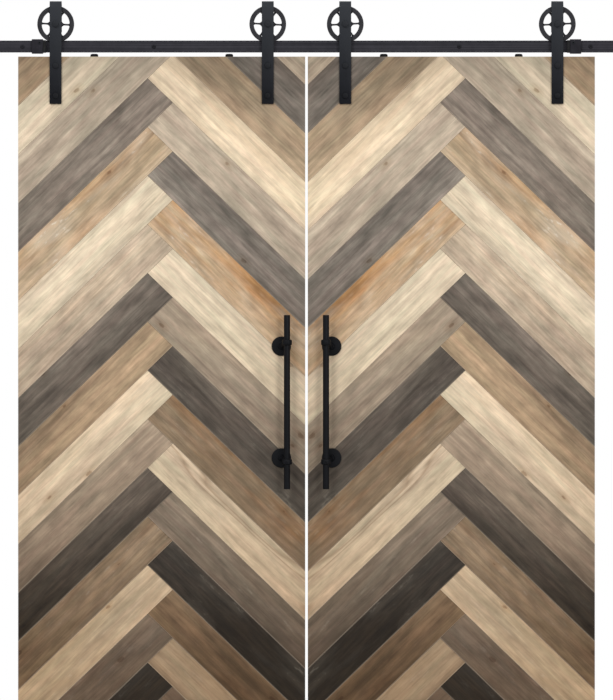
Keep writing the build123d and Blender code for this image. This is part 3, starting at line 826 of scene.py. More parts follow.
class MeshBuilder:
    """Collects closed shapes in one bmesh and turns them into a finished piece."""

    smooth_angle = math.radians(38)
    round_segments = 5

    # Facets in one turn
    head_steps = 36
    rod_steps = 28
    thread_steps = 14

    # Shares of a hex head's height
    washer_height = 0.08
    crown_arris = 0.05

    # The washer face's radius as a share of the size across flats, and the crown's cut as a share of the
    # corners' radius
    washer_radius = 0.47
    crown_cut = 0.2

    # The least angle in radians between two faces of a hex head whose edge is softened
    crown_angle = 0.9

    # A rod's chamfer as a share of its diameter, and a thread's depth and width as shares of its pitch
    rod_tip = 0.06
    thread_depth = 0.35
    thread_ridge = 0.6

    def __init__(self) -> None:
        """Start with an empty mesh."""
        self.bm = bmesh.new()

    def soften(self, geometry: list, width: float, segments: int = 2, affect: str = "EDGES") -> None:
        """Bevel edges, or vertices.

        Args:
            geometry: What is bevelled.
            width: The bevel's width.
            segments: How many segments it has.
            affect: EDGES or VERTICES.
        """
        bmesh.ops.bevel(
            self.bm, geom=geometry, offset=width, offset_type="OFFSET", segments=segments,
            profile=0.5, affect=affect, material=-1, clamp_overlap=True,
        )

    def sharp_edges(self, verts: list[Vert], limit: float = 0.6) -> list[Edge]:
        """List the edges among some vertices that turn by more than a limit.

        Args:
            verts: The vertices of one shape.
            limit: The least angle between the edge's two faces, in radians.

        Returns:
            The sharp edges.
        """
        self.bm.normal_update()
        edges = {edge for vert in verts if vert.is_valid for edge in vert.link_edges}
        return [edge for edge in edges if len(edge.link_faces) == 2 and edge.calc_face_angle(0.0) > limit]

    def added_since(self, before: set[Vert]) -> list[Vert]:
        """List the vertices that weren't there before."""
        return [vert for vert in self.bm.verts if vert not in before]

    def open_edges(self, before: set[Vert]) -> list[Edge]:
        """List the open edges of what was added since."""
        return [edge for edge in self.bm.edges if edge.is_boundary and edge.verts[0] not in before]

    def settle(self, verts: list[Vert], place: Vector, axis: Vector, turn: float = 0.0) -> None:
        """Stand a shape that was made along Z at the origin up along an axis at a place.

        Args:
            verts: The shape's vertices.
            place: Where its origin goes.
            axis: Where its Z axis points.
            turn: How far it is turned about its own axis first.
        """
        stand = UP.rotation_difference(axis.normalized()).to_matrix().to_4x4()
        matrix = Matrix.Translation(place) @ stand @ Matrix.Rotation(turn, 4, "Z")
        bmesh.ops.transform(self.bm, matrix=matrix, verts=verts)

    def face_outwards(self, verts: list[Vert]) -> None:
        """Turn the faces of one closed shape outwards."""
        faces = list({face for vert in verts for face in vert.link_faces})
        bmesh.ops.recalc_face_normals(self.bm, faces=faces)

    def block(self, low: Vector, high: Vector, width: float) -> None:
        """Add a box between two corners, with softened edges.

        Args:
            low: The box's lowest corner.
            high: The box's highest corner.
            width: The bevel on its edges.
        """
        verts = bmesh.ops.create_cube(self.bm, size=1.0)["verts"]
        bmesh.ops.scale(self.bm, vec=high - low, verts=verts)
        bmesh.ops.translate(self.bm, vec=(low + high) / 2, verts=verts)
        self.soften(self.sharp_edges(verts), width)

    def spun(self, profile: Profile, steps: int, closed: bool = False) -> list[Vert]:
        """Spin a profile about the Z axis.

        Args:
            profile: The points, as radius and distance along the axis.
            steps: How many facets go round.
            closed: True where the profile is a closed loop, as a ring's is.

        Returns:
            The new vertices.
        """
        before = set(self.bm.verts)
        points = [self.bm.verts.new((radius, 0.0, along)) for radius, along in profile]
        edges = [self.bm.edges.new(pair) for pair in zip(points, points[1:])]
        if closed:
            edges.append(self.bm.edges.new((points[-1], points[0])))
        bmesh.ops.spin(
            self.bm, geom=points + edges, cent=(0, 0, 0), axis=(0, 0, 1), dvec=(0, 0, 0),
            angle=2 * math.pi, steps=steps, use_merge=True, use_duplicate=False,
        )
        bmesh.ops.remove_doubles(self.bm, verts=self.added_since(before), dist=TOUCH)
        return self.added_since(before)

    def turned(
        self, profile: Profile, place: Vector, axis: Vector, steps: int = 48, width: float = 0.0,
        closed: bool = False, rounds: tuple[Triple, ...] = (),
    ) -> None:
        """Add a turned shape, with rounded rims.

        Args:
            profile: The points, as radius and distance along the axis.
            place: Where the axis starts.
            axis: The axis's direction.
            steps: How many facets go round.
            width: The bevel on every other sharp rim.
            closed: True where the profile is a closed loop, as a ring's is.
            rounds: Rims with a rounding of their own, each as radius, distance along the axis and rounding.
        """
        before = set(self.bm.verts)
        self.face_outwards(self.spun(profile, steps, closed))
        for radius, along, rounding in rounds:
            rim = [
                edge for edge in self.bm.edges
                if edge.verts[0] not in before and all(on_circle(vert, radius, along) for vert in edge.verts)
            ]
            self.soften(rim, rounding, self.round_segments)
        if width:
            self.soften(self.sharp_edges(self.added_since(before)), width)
        self.settle(self.added_since(before), place, axis)

    def prism(self, outline: list[Vector], reach: Vector) -> None:
        """Extrude a flat outline along a vector.

        Args:
            outline: The outline's corners in order.
            reach: The vector it is extruded by.
        """
        corners = [self.bm.verts.new(point) for point in outline]
        face = self.bm.faces.new(corners)
        grown = bmesh.ops.extrude_face_region(self.bm, geom=[face], use_keep_orig=True)["geom"]
        moved = of_kind(grown, Vert)
        bmesh.ops.translate(self.bm, vec=reach, verts=moved)
        self.face_outwards(corners + moved)

    def hex_head(self, place: Vector, axis: Vector, across: float, height: float, turn: float = 0.0) -> None:
        """Add a hex head or nut on a thin washer face, with its crown's corners cut.

        Args:
            place: The centre of its seat.
            axis: The way it stands up.
            across: The size across its flats.
            height: Its height.
            turn: How far it is turned about its axis, in radians.
        """
        seat = self.washer_height * height
        corner = across / math.sqrt(3)
        before = set(self.bm.verts)
        verts = bmesh.ops.create_cone(
            self.bm, cap_ends=True, cap_tris=False, segments=6,
            radius1=corner, radius2=corner, depth=height - seat,
        )["verts"]
        self.soften([vert for vert in verts if vert.co.z > 0], self.crown_cut * corner, 1, "VERTICES")
        edges = self.sharp_edges(self.added_since(before), self.crown_angle)
        self.soften(edges, self.crown_arris * height)
        made = self.added_since(before)
        bmesh.ops.translate(self.bm, vec=(0, 0, (height + seat) / 2), verts=made)
        self.settle(made, place, axis, turn)
        washer = section(0.0, self.washer_radius * across, 0.0, seat)
        self.turned(washer, place, axis, self.head_steps)

    def socket_head(self, place: Vector, axis: Vector, head: SocketHead) -> None:
        """Add a round head with a hex socket in its face.

        Args:
            place: The centre of its seat.
            axis: The way it stands up.
            head: Its sizes.
        """
        before = set(self.bm.verts)
        radius = head.diameter / 2
        turns = [step * math.pi / 12 for step in range(7)]
        shoulder = [
            (
                radius - head.rounding * (1 - math.sin(turn)),
                head.height - head.rounding * (1 - math.cos(turn)),
            )
            for turn in turns
        ]
        self.spun(shoulder + [(radius, 0.0), (0.0, 0.0)], self.head_steps)
        rim = self.open_edges(before)
        corner = head.socket / math.sqrt(3)
        mouth = bmesh.ops.create_circle(self.bm, cap_ends=False, segments=6, radius=corner)["verts"]
        bmesh.ops.translate(self.bm, vec=(0, 0, head.height), verts=mouth)
        mouth_edges = list({edge for vert in mouth for edge in vert.link_edges})
        bmesh.ops.bridge_loops(self.bm, edges=rim + mouth_edges)
        grown = bmesh.ops.extrude_edge_only(self.bm, edges=mouth_edges)["geom"]
        bmesh.ops.translate(self.bm, vec=(0, 0, -head.depth), verts=of_kind(grown, Vert))
        bmesh.ops.holes_fill(self.bm, edges=self.open_edges(before), sides=0)
        made = self.added_since(before)
        self.face_outwards(made)
        self.settle(made, place, axis)

    def rod(self, place: Vector, axis: Vector, diameter: float, length: float, point: float = 0.0) -> None:
        """Add a plain round shank, chamfered at its far end.

        Args:
            place: Where it starts.
            axis: Its direction.
            diameter: Its diameter.
            length: Its length.
            point: How long its chamfer is, where it is more than a slight one.
        """
        radius = diameter / 2
        tip = max(point, self.rod_tip * diameter)
        profile = [(0.0, 0.0), (radius, 0.0), (radius, length - tip), (radius - tip, length), (0.0, length)]
        self.turned(profile, place, axis, self.rod_steps)

    def thread(self, place: Vector, axis: Vector, diameter: float, length: float, pitch: float) -> None:
        """Add a screw thread's ridge round a core.

        Args:
            place: Where the thread starts.
            axis: The screw's direction.
            diameter: The thread's outer diameter.
            length: The thread's length.
            pitch: Its pitch.
        """
        before = set(self.bm.verts)
        crest, root = diameter / 2, diameter / 2 - self.thread_depth * pitch
        width = self.thread_ridge * pitch
        corners = ((root, 0, 0), (crest, 0, width / 2), (root, 0, width))
        ridge = self.bm.faces.new([self.bm.verts.new(corner) for corner in corners])
        steps = int(self.thread_steps * (length / pitch - self.thread_ridge))
        bmesh.ops.spin(
            self.bm, geom=[ridge], cent=(0, 0, 0), axis=(0, 0, 1), dvec=(0, 0, pitch / self.thread_steps),
            angle=2 * math.pi * steps / self.thread_steps, steps=steps, use_merge=False, use_duplicate=False,
        )
        made = self.added_since(before)
        self.face_outwards(made)
        self.settle(made, place, axis)

    def take(self, other: MeshBuilder) -> None:
        """Add another builder's mesh with its layers, and free that one.

        Args:
            other: The builder whose mesh is taken.
        """
        carrier = bpy.data.meshes.new("carrier")
        other.bm.to_mesh(carrier)
        other.bm.free()
        self.bm.from_mesh(carrier)
        bpy.data.meshes.remove(carrier)

    def piece(self, name: str, material: Material, body: str, node: str) -> None:
        """Make the object, dress it and give it its place in the frame.

        Args:
            name: The piece's name.
            material: Its finish.
            body: The CAD body that it rides on.
            node: The CAD node that it replaces.
        """
        mesh = bpy.data.meshes.new(name)
        self.bm.to_mesh(mesh)
        self.bm.free()
        mesh.materials.append(material)
        mesh.shade_smooth()
        mesh.set_sharp_from_angle(angle=self.smooth_angle)
        piece = bpy.data.objects.new(name, mesh)
        bpy.context.scene.collection.objects.link(piece)
        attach(piece, body)
        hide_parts(node)
        LOG.info("%s: %d faces on %s", name, len(mesh.polygons), body)

    def leaf_piece(self, side: Side, name: str, material: Material, node: str) -> None:
        """Make a piece that rides on a leaf and replaces one of that leaf's nodes."""
        self.piece(f"{side.label}_{name}", material, side.door, f"{side.label}_{node}")


class Datum:
    """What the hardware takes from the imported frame: the doors' front, node boxes and material slots."""

    slots: dict[str, str] = {}
    front: float = 0.0

    @classmethod
    def read(cls, frame: dict) -> None:
        """Read the record's slots and the front face's place."""
        cls.slots = {part["node"]: part["material_slot"] for part in frame["record"]["subparts"]}
        cls.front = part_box("left_planks_brown")[0].y

    @classmethod
    def at(cls, x: float, depth: float, z: float) -> Vector:
        """The point at a depth behind the doors' front face."""
        return Vector((x, cls.front + depth, z))

    @staticmethod
    def centre(node: str) -> Vector:
        """The middle of a node's box."""
        low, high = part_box(node)
        return (low + high) / 2


@dataclass
class Boards:
    """The herringbone boards of one leaf.

    They are cut as a left leaf's, with X measured from the spine, and mirrored for the right leaf.
    """

    side: Side
    angle: float = math.radians(44.0)
    joint: float = 0.4 * MM
    arris: float = 0.8 * MM
    spine_inset: float = 452.4 * MM
    first_vertex_drop: float = 69.1 * MM
    rows: range = range(-3, 14)
    stock_length: float = 2.2

    def __post_init__(self) -> None:
        """Take the leaf's size from the frame."""
        self.low, self.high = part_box(f"{self.side.label}_panel")
        self.leaf_width = self.high.x - self.low.x
        self.pitch = BOARD_WIDTH / math.cos(self.angle)
        self.half_end = self.pitch / math.tan(self.angle) / 4

    def build(self, finishes: Finishes) -> None:
        """Make the boards, grouped by stain.

        Args:
            finishes: The pair's materials.
        """
        builders = {stain: MeshBuilder() for stain in Stain}
        for lean in Lean:
            for row in self.rows:
                self.add_board(builders[lean.stain(row)], lean, row)
        for stain, builder in builders.items():
            name, node = f"boards_{stain.label}", f"planks_{stain.label}"
            builder.leaf_piece(self.side, name, finishes.boards[stain], node)

    def add_board(self, builder: MeshBuilder, lean: Lean, row: int) -> None:
        """Cut one board to the spine and to the leaf, and add it.

        Args:
            builder: The mesh that takes the board.
            lean: The way that it runs down from the spine.
            row: The board's row, counted down the leaf.
        """
        cosine, sine = math.cos(self.angle), math.sin(self.angle)
        along = Vector((lean.sign * cosine, 0, -sine))
        down_across = Vector((-lean.sign * sine, 0, -cosine))
        spine_cut = Vector((-lean.sign * sine, 0, cosine))
        vertex = self.high.z - self.first_vertex_drop - self.pitch * row
        if lean is Lean.RIGHT:
            vertex += self.pitch / 2
        corner = Vector((lean.sign * self.half_end, 0, vertex))
        upper = -BOARD_WIDTH if row == self.rows[0] else self.joint / 2
        lower = BOARD_WIDTH - self.joint / 2
        board = MeshBuilder()
        verts = bmesh.ops.create_cube(board.bm, size=1.0)["verts"]
        size = (self.stock_length * self.leaf_width, BOARD_THICKNESS, lower - upper)
        bmesh.ops.scale(board.bm, vec=size, verts=verts)
        bmesh.ops.translate(board.bm, vec=(0, BOARD_THICKNESS / 2, (upper + lower) / 2), verts=verts)
        turn = Matrix((along, WALL, down_across)).transposed().to_4x4()
        bmesh.ops.transform(board.bm, matrix=Matrix.Translation(corner) @ turn, verts=verts)
        for point, normal in (
            (corner - spine_cut * self.joint / 2, spine_cut),
            (Vector((-self.spine_inset, 0, 0)), -ALONG_RAIL),
            (Vector((self.leaf_width - self.spine_inset, 0, 0)), ALONG_RAIL),
            (Vector((0, 0, self.low.z)), -UP),
            (Vector((0, 0, self.high.z)), UP),
        ):
            self.trim(board.bm, point, normal)
        if not board.bm.faces:
            board.bm.free()
            return
        self.ease_front(board)
        draw = random.Random(100 * row + lean.sign)
        write_layers(board.bm, corner, along, down_across, lean.look(row), draw)
        self.set_in_leaf(board.bm)
        builder.take(board)

    def set_in_leaf(self, board: Mesh) -> None:
        """Move a board from the spine's frame to its leaf, mirrored on the right.

        Args:
            board: The board's mesh.
        """
        mirror = -self.side.value
        spine = self.low.x + self.spine_inset if self.side is Side.LEFT else self.high.x - self.spine_inset
        bmesh.ops.scale(board, vec=(mirror, 1, 1), verts=board.verts)
        bmesh.ops.translate(board, vec=(spine, Datum.front, 0), verts=board.verts)
        bmesh.ops.recalc_face_normals(board, faces=board.faces)

    def ease_front(self, board: MeshBuilder) -> None:
        """Close a board's doubles and ease its front edges.

        Args:
            board: The board.
        """
        bmesh.ops.remove_doubles(board.bm, verts=board.bm.verts, dist=TOUCH)
        bmesh.ops.recalc_face_normals(board.bm, faces=board.bm.faces)
        front = [edge for edge in board.bm.edges if all(abs(vert.co.y) < NEAR for vert in edge.verts)]
        board.soften(front, self.arris)

    @staticmethod
    def trim(board: Mesh, point: Vector, normal: Vector) -> None:
        """Cut away what lies beyond a plane and close the cut.

        Args:
            board: The board's mesh.
            point: A point on the plane.
            normal: The way that the cut-away side lies.
        """
        geometry = list(board.verts) + list(board.edges) + list(board.faces)
        cut = bmesh.ops.bisect_plane(
            board, geom=geometry, dist=CUT_SLACK, plane_co=point, plane_no=normal,
            clear_outer=True, clear_inner=False,
        )
        edges = of_kind(cut["geom_cut"], Edge)
        if edges:
            bmesh.ops.holes_fill(board, edges=edges, sides=0)


def write_layers(
    board: Mesh, origin: Vector, along: Vector, across: Vector, look: BoardLook, draw: random.Random,
) -> None:
    """Write a board's UV map and its tint, look and seed.

    Args:
        board: The board's mesh.
        origin: The corner that the UV map starts from.
        along: The direction of the grain.
        across: The direction across the grain, away from the upper edge.
        look: What marks the board.
        draw: The board's own random numbers.
    """
    uv_layer = board.loops.layers.uv.new(BOARD_UV)
    layers = [board.loops.layers.float_color.new(name) for name in (TINT_LAYER, LOOK_LAYER, SEED_LAYER)]
    tone = look.shade * (1.0 + draw.uniform(-TONE_SWING, TONE_SWING))
    warmth = draw.uniform(-WARMTH_SWING, WARMTH_SWING)
    tint = (tone * (1 + warmth), tone, tone * (1 - warmth), 1.0)
    seed = (draw.random(), draw.random(), draw.random(), 1.0)
    for face in board.faces:
        for loop in face.loops:
            place = loop.vert.co - origin
            loop[uv_layer].uv = (place.dot(along), place.dot(across) + FIGURE_DRIFT * place.y)
            for layer, value in zip(layers, (tint, look.marks, seed)):
                loop[layer] = value


@dataclass
class BackFrame:
    """The two stiles and three rails on the back of one leaf."""

    side: Side
    board: float = 140.0 * MM
    joint: float = 0.6 * MM
    middle_rail: float = 1010.0 * MM
    arris: float = 1.4 * MM
    seed: int = 7

    def build(self, finishes: Finishes) -> None:
        """Make the five boards.

        Args:
            finishes: The pair's materials.
        """
        low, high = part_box(f"{self.side.label}_frame")
        builder = MeshBuilder()
        draw = random.Random(self.seed)
        for left in (low.x, high.x - self.board):
            foot, head = Vector((left, low.y, low.z)), Vector((left + self.board, high.y, high.z))
            self.add_stick(builder, foot, head, -UP, draw)
        inner = self.board + self.joint
        for middle in (low.z + self.board / 2, self.middle_rail, high.z - self.board / 2):
            foot = Vector((low.x + inner, low.y, middle - self.board / 2))
            head = Vector((high.x - inner, high.y, middle + self.board / 2))
            self.add_stick(builder, foot, head, ALONG_RAIL, draw)
        builder.leaf_piece(self.side, "back_frame", finishes.backing, "frame")

    def add_stick(
        self, builder: MeshBuilder, low: Vector, high: Vector, grain: Vector, draw: random.Random,
    ) -> None:
        """Add one board.

        Args:
            builder: The mesh that takes the board.
            low: The board's lowest corner.
            high: The board's highest corner.
            grain: The direction of its grain.
            draw: The random numbers of its tint.
        """
        stick = MeshBuilder()
        stick.block(low, high, self.arris)
        across = ALONG_RAIL if grain == -UP else -UP
        write_layers(stick.bm, Vector((low.x, low.y, high.z)), grain, across, BoardLook.PLAIN, draw)
        builder.take(stick)


@dataclass
class Hanger:
    """A flat strap bent over its wheel, with its wall-side leg down to the axle's far end."""

    side: Side
    place: Place
    rear_reach: float = 26.0 * MM
    foot_corner: float = 2.2 * MM
    arris: float = 0.7 * MM
    bend_steps: int = 32

    def build(self, finishes: Finishes) -> None:
        """Make the strap.

        Args:
            finishes: The pair's materials.
        """
        label = f"{self.side.label}_{self.place.value}"
        low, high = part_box(f"{label}_hanger")
        rear_foot = Datum.centre(f"{label}_wheel").z - self.rear_reach
        inner = STRAP_GAP / 2
        outer = inner + STRAP
        centre = Datum.at(low.x, inner, high.z - outer)
        turns = [math.pi * step / self.bend_steps for step in range(self.bend_steps + 1)]
        outline = [Datum.at(low.x, -STRAP, low.z)]
        outline += [centre + outer * Vector((0, -math.cos(turn), math.sin(turn))) for turn in turns]
        outline += [Datum.at(low.x, STRAP_GAP + STRAP, rear_foot), Datum.at(low.x, STRAP_GAP, rear_foot)]
        outline += [centre + inner * Vector((0, math.cos(turn), math.sin(turn))) for turn in turns]
        outline += [Datum.at(low.x, 0.0, low.z)]
        builder = MeshBuilder()
        builder.prism(outline, Vector((high.x - low.x, 0, 0)))
        builder.soften([edge for edge in builder.bm.edges if self.ends_a_leg(edge)], self.foot_corner, 4)
        builder.soften(builder.sharp_edges(list(builder.bm.verts)), self.arris)
        place = self.place.value
        builder.leaf_piece(self.side, f"{place}_strap", finishes.strap, f"{place}_hanger")

    @staticmethod
    def ends_a_leg(edge: Edge) -> bool:
        """Tell whether an edge crosses the strap's thickness at the end of a leg."""
        span = edge.verts[0].co - edge.verts[1].co
        return abs(span.z) < TOUCH and abs(span.x) < TOUCH and abs(span.y) > 0.9 * STRAP


@dataclass
class Wheel:
    """A grooved wheel: a turned rim and hub, and six cast spokes that swell at both ends."""

    side: Side
    place: Place
    tread: float = 52.0 * MM
    crest: float = 58.5 * MM
    rim_inner: float = 44.5 * MM
    rim_arris: float = 0.5 * MM
    rim_steps: int = 96
    half_width: float = 11.0 * MM
    half_groove: float = 3.8 * MM
    flare: float = 1.2 * MM
    chamfer: float = 1.2 * MM
    bore: float = 14.0 * MM
    hub: float = 18.0 * MM
    hub_arris: float = 1.0 * MM
    hub_steps: int = 64
    spokes: int = 6
    spoke_width: float = 5.4 * MM
    spoke_depth: float = 9.0 * MM
    spoke_sink: float = 1.0 * MM
    spoke_round: float = 0.22
    spoke_cuts: int = 14
    root_share: float = 0.42
    root_power: float = 2.3
    root_swell: float = 20.0 * MM
    tip_start: float = 0.8
    tip_share: float = 0.2
    tip_power: float = 2.0
    tip_swell: float = 8.0 * MM
    tilt: float = math.radians(3.0)

    def build(self, finishes: Finishes) -> None:
        """Make the wheel.

        Args:
            finishes: The pair's materials.
        """
        label = f"{self.side.label}_{self.place.value}_wheel"
        middle = Datum.centre(label)
        builder = MeshBuilder()
        half, groove, shoulder = self.half_width, self.half_groove, self.crest - self.chamfer
        rim = [
            (self.rim_inner, -half), (shoulder, -half), (self.crest, -half + self.chamfer),
            (self.crest, -groove - self.flare), (self.tread, -groove), (self.tread, groove),
            (self.crest, groove + self.flare), (self.crest, half - self.chamfer), (shoulder, half),
            (self.rim_inner, half),
        ]
        builder.turned(rim, middle, WALL, self.rim_steps, self.rim_arris, closed=True)
        hub = section(self.bore, self.hub, -half, half)
        builder.turned(hub, middle, WALL, self.hub_steps, self.hub_arris, closed=True)
        for number in range(self.spokes):
            self.add_spoke(builder, middle, self.side.value * self.tilt + 2 * math.pi * number / self.spokes)
        builder.piece(f"{label}_casting", finishes.wheel, label, label)

    def add_spoke(self, builder: MeshBuilder, middle: Vector, angle: float) -> None:
        """Add one spoke.

        Args:
            builder: The wheel's mesh.
            middle: The wheel's centre.
            angle: The spoke's angle from the X axis, seen from the front.
        """
        start, end = self.hub - self.spoke_sink, self.rim_inner + self.spoke_sink
        spoke = MeshBuilder()
        bmesh.ops.create_cube(spoke.bm, size=1.0)
        spoke.soften(self.lengthwise(spoke.bm), self.spoke_round, 3)
        edges = self.lengthwise(spoke.bm)
        bmesh.ops.subdivide_edges(spoke.bm, edges=edges, cuts=self.spoke_cuts, use_grid_fill=True)
        for vert in spoke.bm.verts:
            share = vert.co.x + 0.5
            root = max(0.0, 1.0 - share / self.root_share) ** self.root_power
            tip = max(0.0, (share - self.tip_start) / self.tip_share) ** self.tip_power
            width = self.spoke_width + self.root_swell * root + self.tip_swell * tip
            vert.co = Vector((start + share * (end - start), vert.co.y * self.spoke_depth, vert.co.z * width))
        spoke.face_outwards(list(spoke.bm.verts))
        matrix = Matrix.Translation(middle) @ Matrix.Rotation(-angle, 4, "Y")
        bmesh.ops.transform(spoke.bm, matrix=matrix, verts=spoke.bm.verts)
        builder.take(spoke)

    @staticmethod
    def lengthwise(spoke: Mesh) -> list[Edge]:
        """List the edges that run the length of a spoke."""
        return [edge for edge in spoke.edges if abs(edge.verts[0].co.x - edge.verts[1].co.x) > 0.5]


@dataclass
class HangerFixings:
    """The bolts of one leaf's two hangers: the axles, and the hex bolts and sleeve nuts through the leaf."""

    side: Side
    bolt_heights: Pair = (2105.0 * MM, 2009.0 * MM)
    head: float = 17.0 * MM
    head_height: float = 6.4 * MM
    shank: float = 10.0 * MM
    sleeve: float = 13.0 * MM
    sleeve_length: float = 15.0 * MM
    sleeve_steps: int = 32
    flange: SocketHead = SocketHead(22.0 * MM, 2.0 * MM, 8.0 * MM, 1.2 * MM, 0.9 * MM)
    axle: float = 12.0 * MM
    axle_head: float = 18.0 * MM
    axle_head_height: float = 7.5 * MM
    axle_nut_height: float = 8.0 * MM
    axle_tail: float = 1.5 * MM
    axle_point: float = 1.2 * MM
    axle_turn: float = math.radians(30)

    def build(self, finishes: Finishes) -> None:
        """Make the bolts and nuts.

        Args:
            finishes: The pair's materials.
        """
        label = self.side.label
        axle_height = Datum.centre(f"{label}_outer_wheel").z
        bolts, nuts, axles, axle_nuts = (MeshBuilder() for _ in range(4))
        for x in [Datum.centre(f"{label}_{place.value}_hanger").x for place in Place]:
            for height in self.bolt_heights:
                seat = Datum.at(x, -STRAP, height)
                bolts.hex_head(seat, VIEWER, self.head, self.head_height)
                bolts.rod(seat, WALL, self.shank, STRAP + LEAF)
                back = Datum.at(x, LEAF, height)
                sleeve = section(0.0, self.sleeve / 2, -self.sleeve_length, 0.0)
                nuts.turned(sleeve, back, WALL, self.sleeve_steps)
                nuts.socket_head(back, WALL, self.flange)
            seat = Datum.at(x, -STRAP, axle_height)
            length = STRAP + (STRAP_GAP + STRAP) + self.axle_nut_height + self.axle_tail
            axles.hex_head(seat, VIEWER, self.axle_head, self.axle_head_height, self.axle_turn)
            axles.rod(seat, WALL, self.axle, length, self.axle_point)
            nut = Datum.at(x, STRAP_GAP + STRAP, axle_height)
            axle_nuts.hex_head(nut, WALL, self.axle_head, self.axle_nut_height, self.axle_turn)
        for builder, name, node in (
            (bolts, "hanger_bolts", "strap_bolts"), (nuts, "hanger_nuts", "strap_nuts"),
            (axles, "axles", "axle_bolts"), (axle_nuts, "axle_lock_nuts", "axle_nuts"),
        ):
            builder.leaf_piece(self.side, name, finishes.bolt, node)


@dataclass
class TopBlocks:
    """The two domed blocks on a leaf's top edge, which keep the wheels from jumping off, and their screws."""

    side: Side
    radius: float = 12.5 * MM
    height: float = 9.2 * MM
    rounding: float = 5.0 * MM
    arris: float = 0.25 * MM
    sink: float = 2.4 * MM
    sink_radius: float = 4.5 * MM
    screw: float = 4.4 * MM
    screw_slack: float = 0.1 * MM
    screw_length: float = 32.0 * MM
    screw_point: float = 1.2 * MM
    screw_head: SocketHead = SocketHead(8.5 * MM, 2.15 * MM, 3.0 * MM, 1.2 * MM, 0.6 * MM)

    def build(self, finishes: Finishes) -> None:
        """Make the blocks and the screws.

        Args:
            finishes: The pair's materials.
        """
        low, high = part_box(f"{self.side.label}_anti_jump_discs")
        blocks, screws = MeshBuilder(), MeshBuilder()
        hole, floor = self.screw / 2, self.height - self.sink
        profile = [
            (hole, 0.0), (self.radius, 0.0), (self.radius, self.height), (self.sink_radius, self.height),
            (self.sink_radius, floor), (hole, floor),
        ]
        for x in (low.x + self.radius, high.x - self.radius):
            seat = Vector((x, (low.y + high.y) / 2, low.z))
            rounds = ((self.radius, self.height, self.rounding),)
            blocks.turned(profile, seat, UP, width=self.arris, closed=True, rounds=rounds)
            top = seat + UP * floor
            screws.socket_head(top, UP, self.screw_head)
            length = self.screw_length - self.sink
            screws.rod(top, -UP, self.screw - self.screw_slack, length, self.screw_point)
        blocks.leaf_piece(self.side, "top_blocks", finishes.handle, "anti_jump_discs")
        screws.leaf_piece(self.side, "top_block_screws", finishes.bolt, "disc_screws")


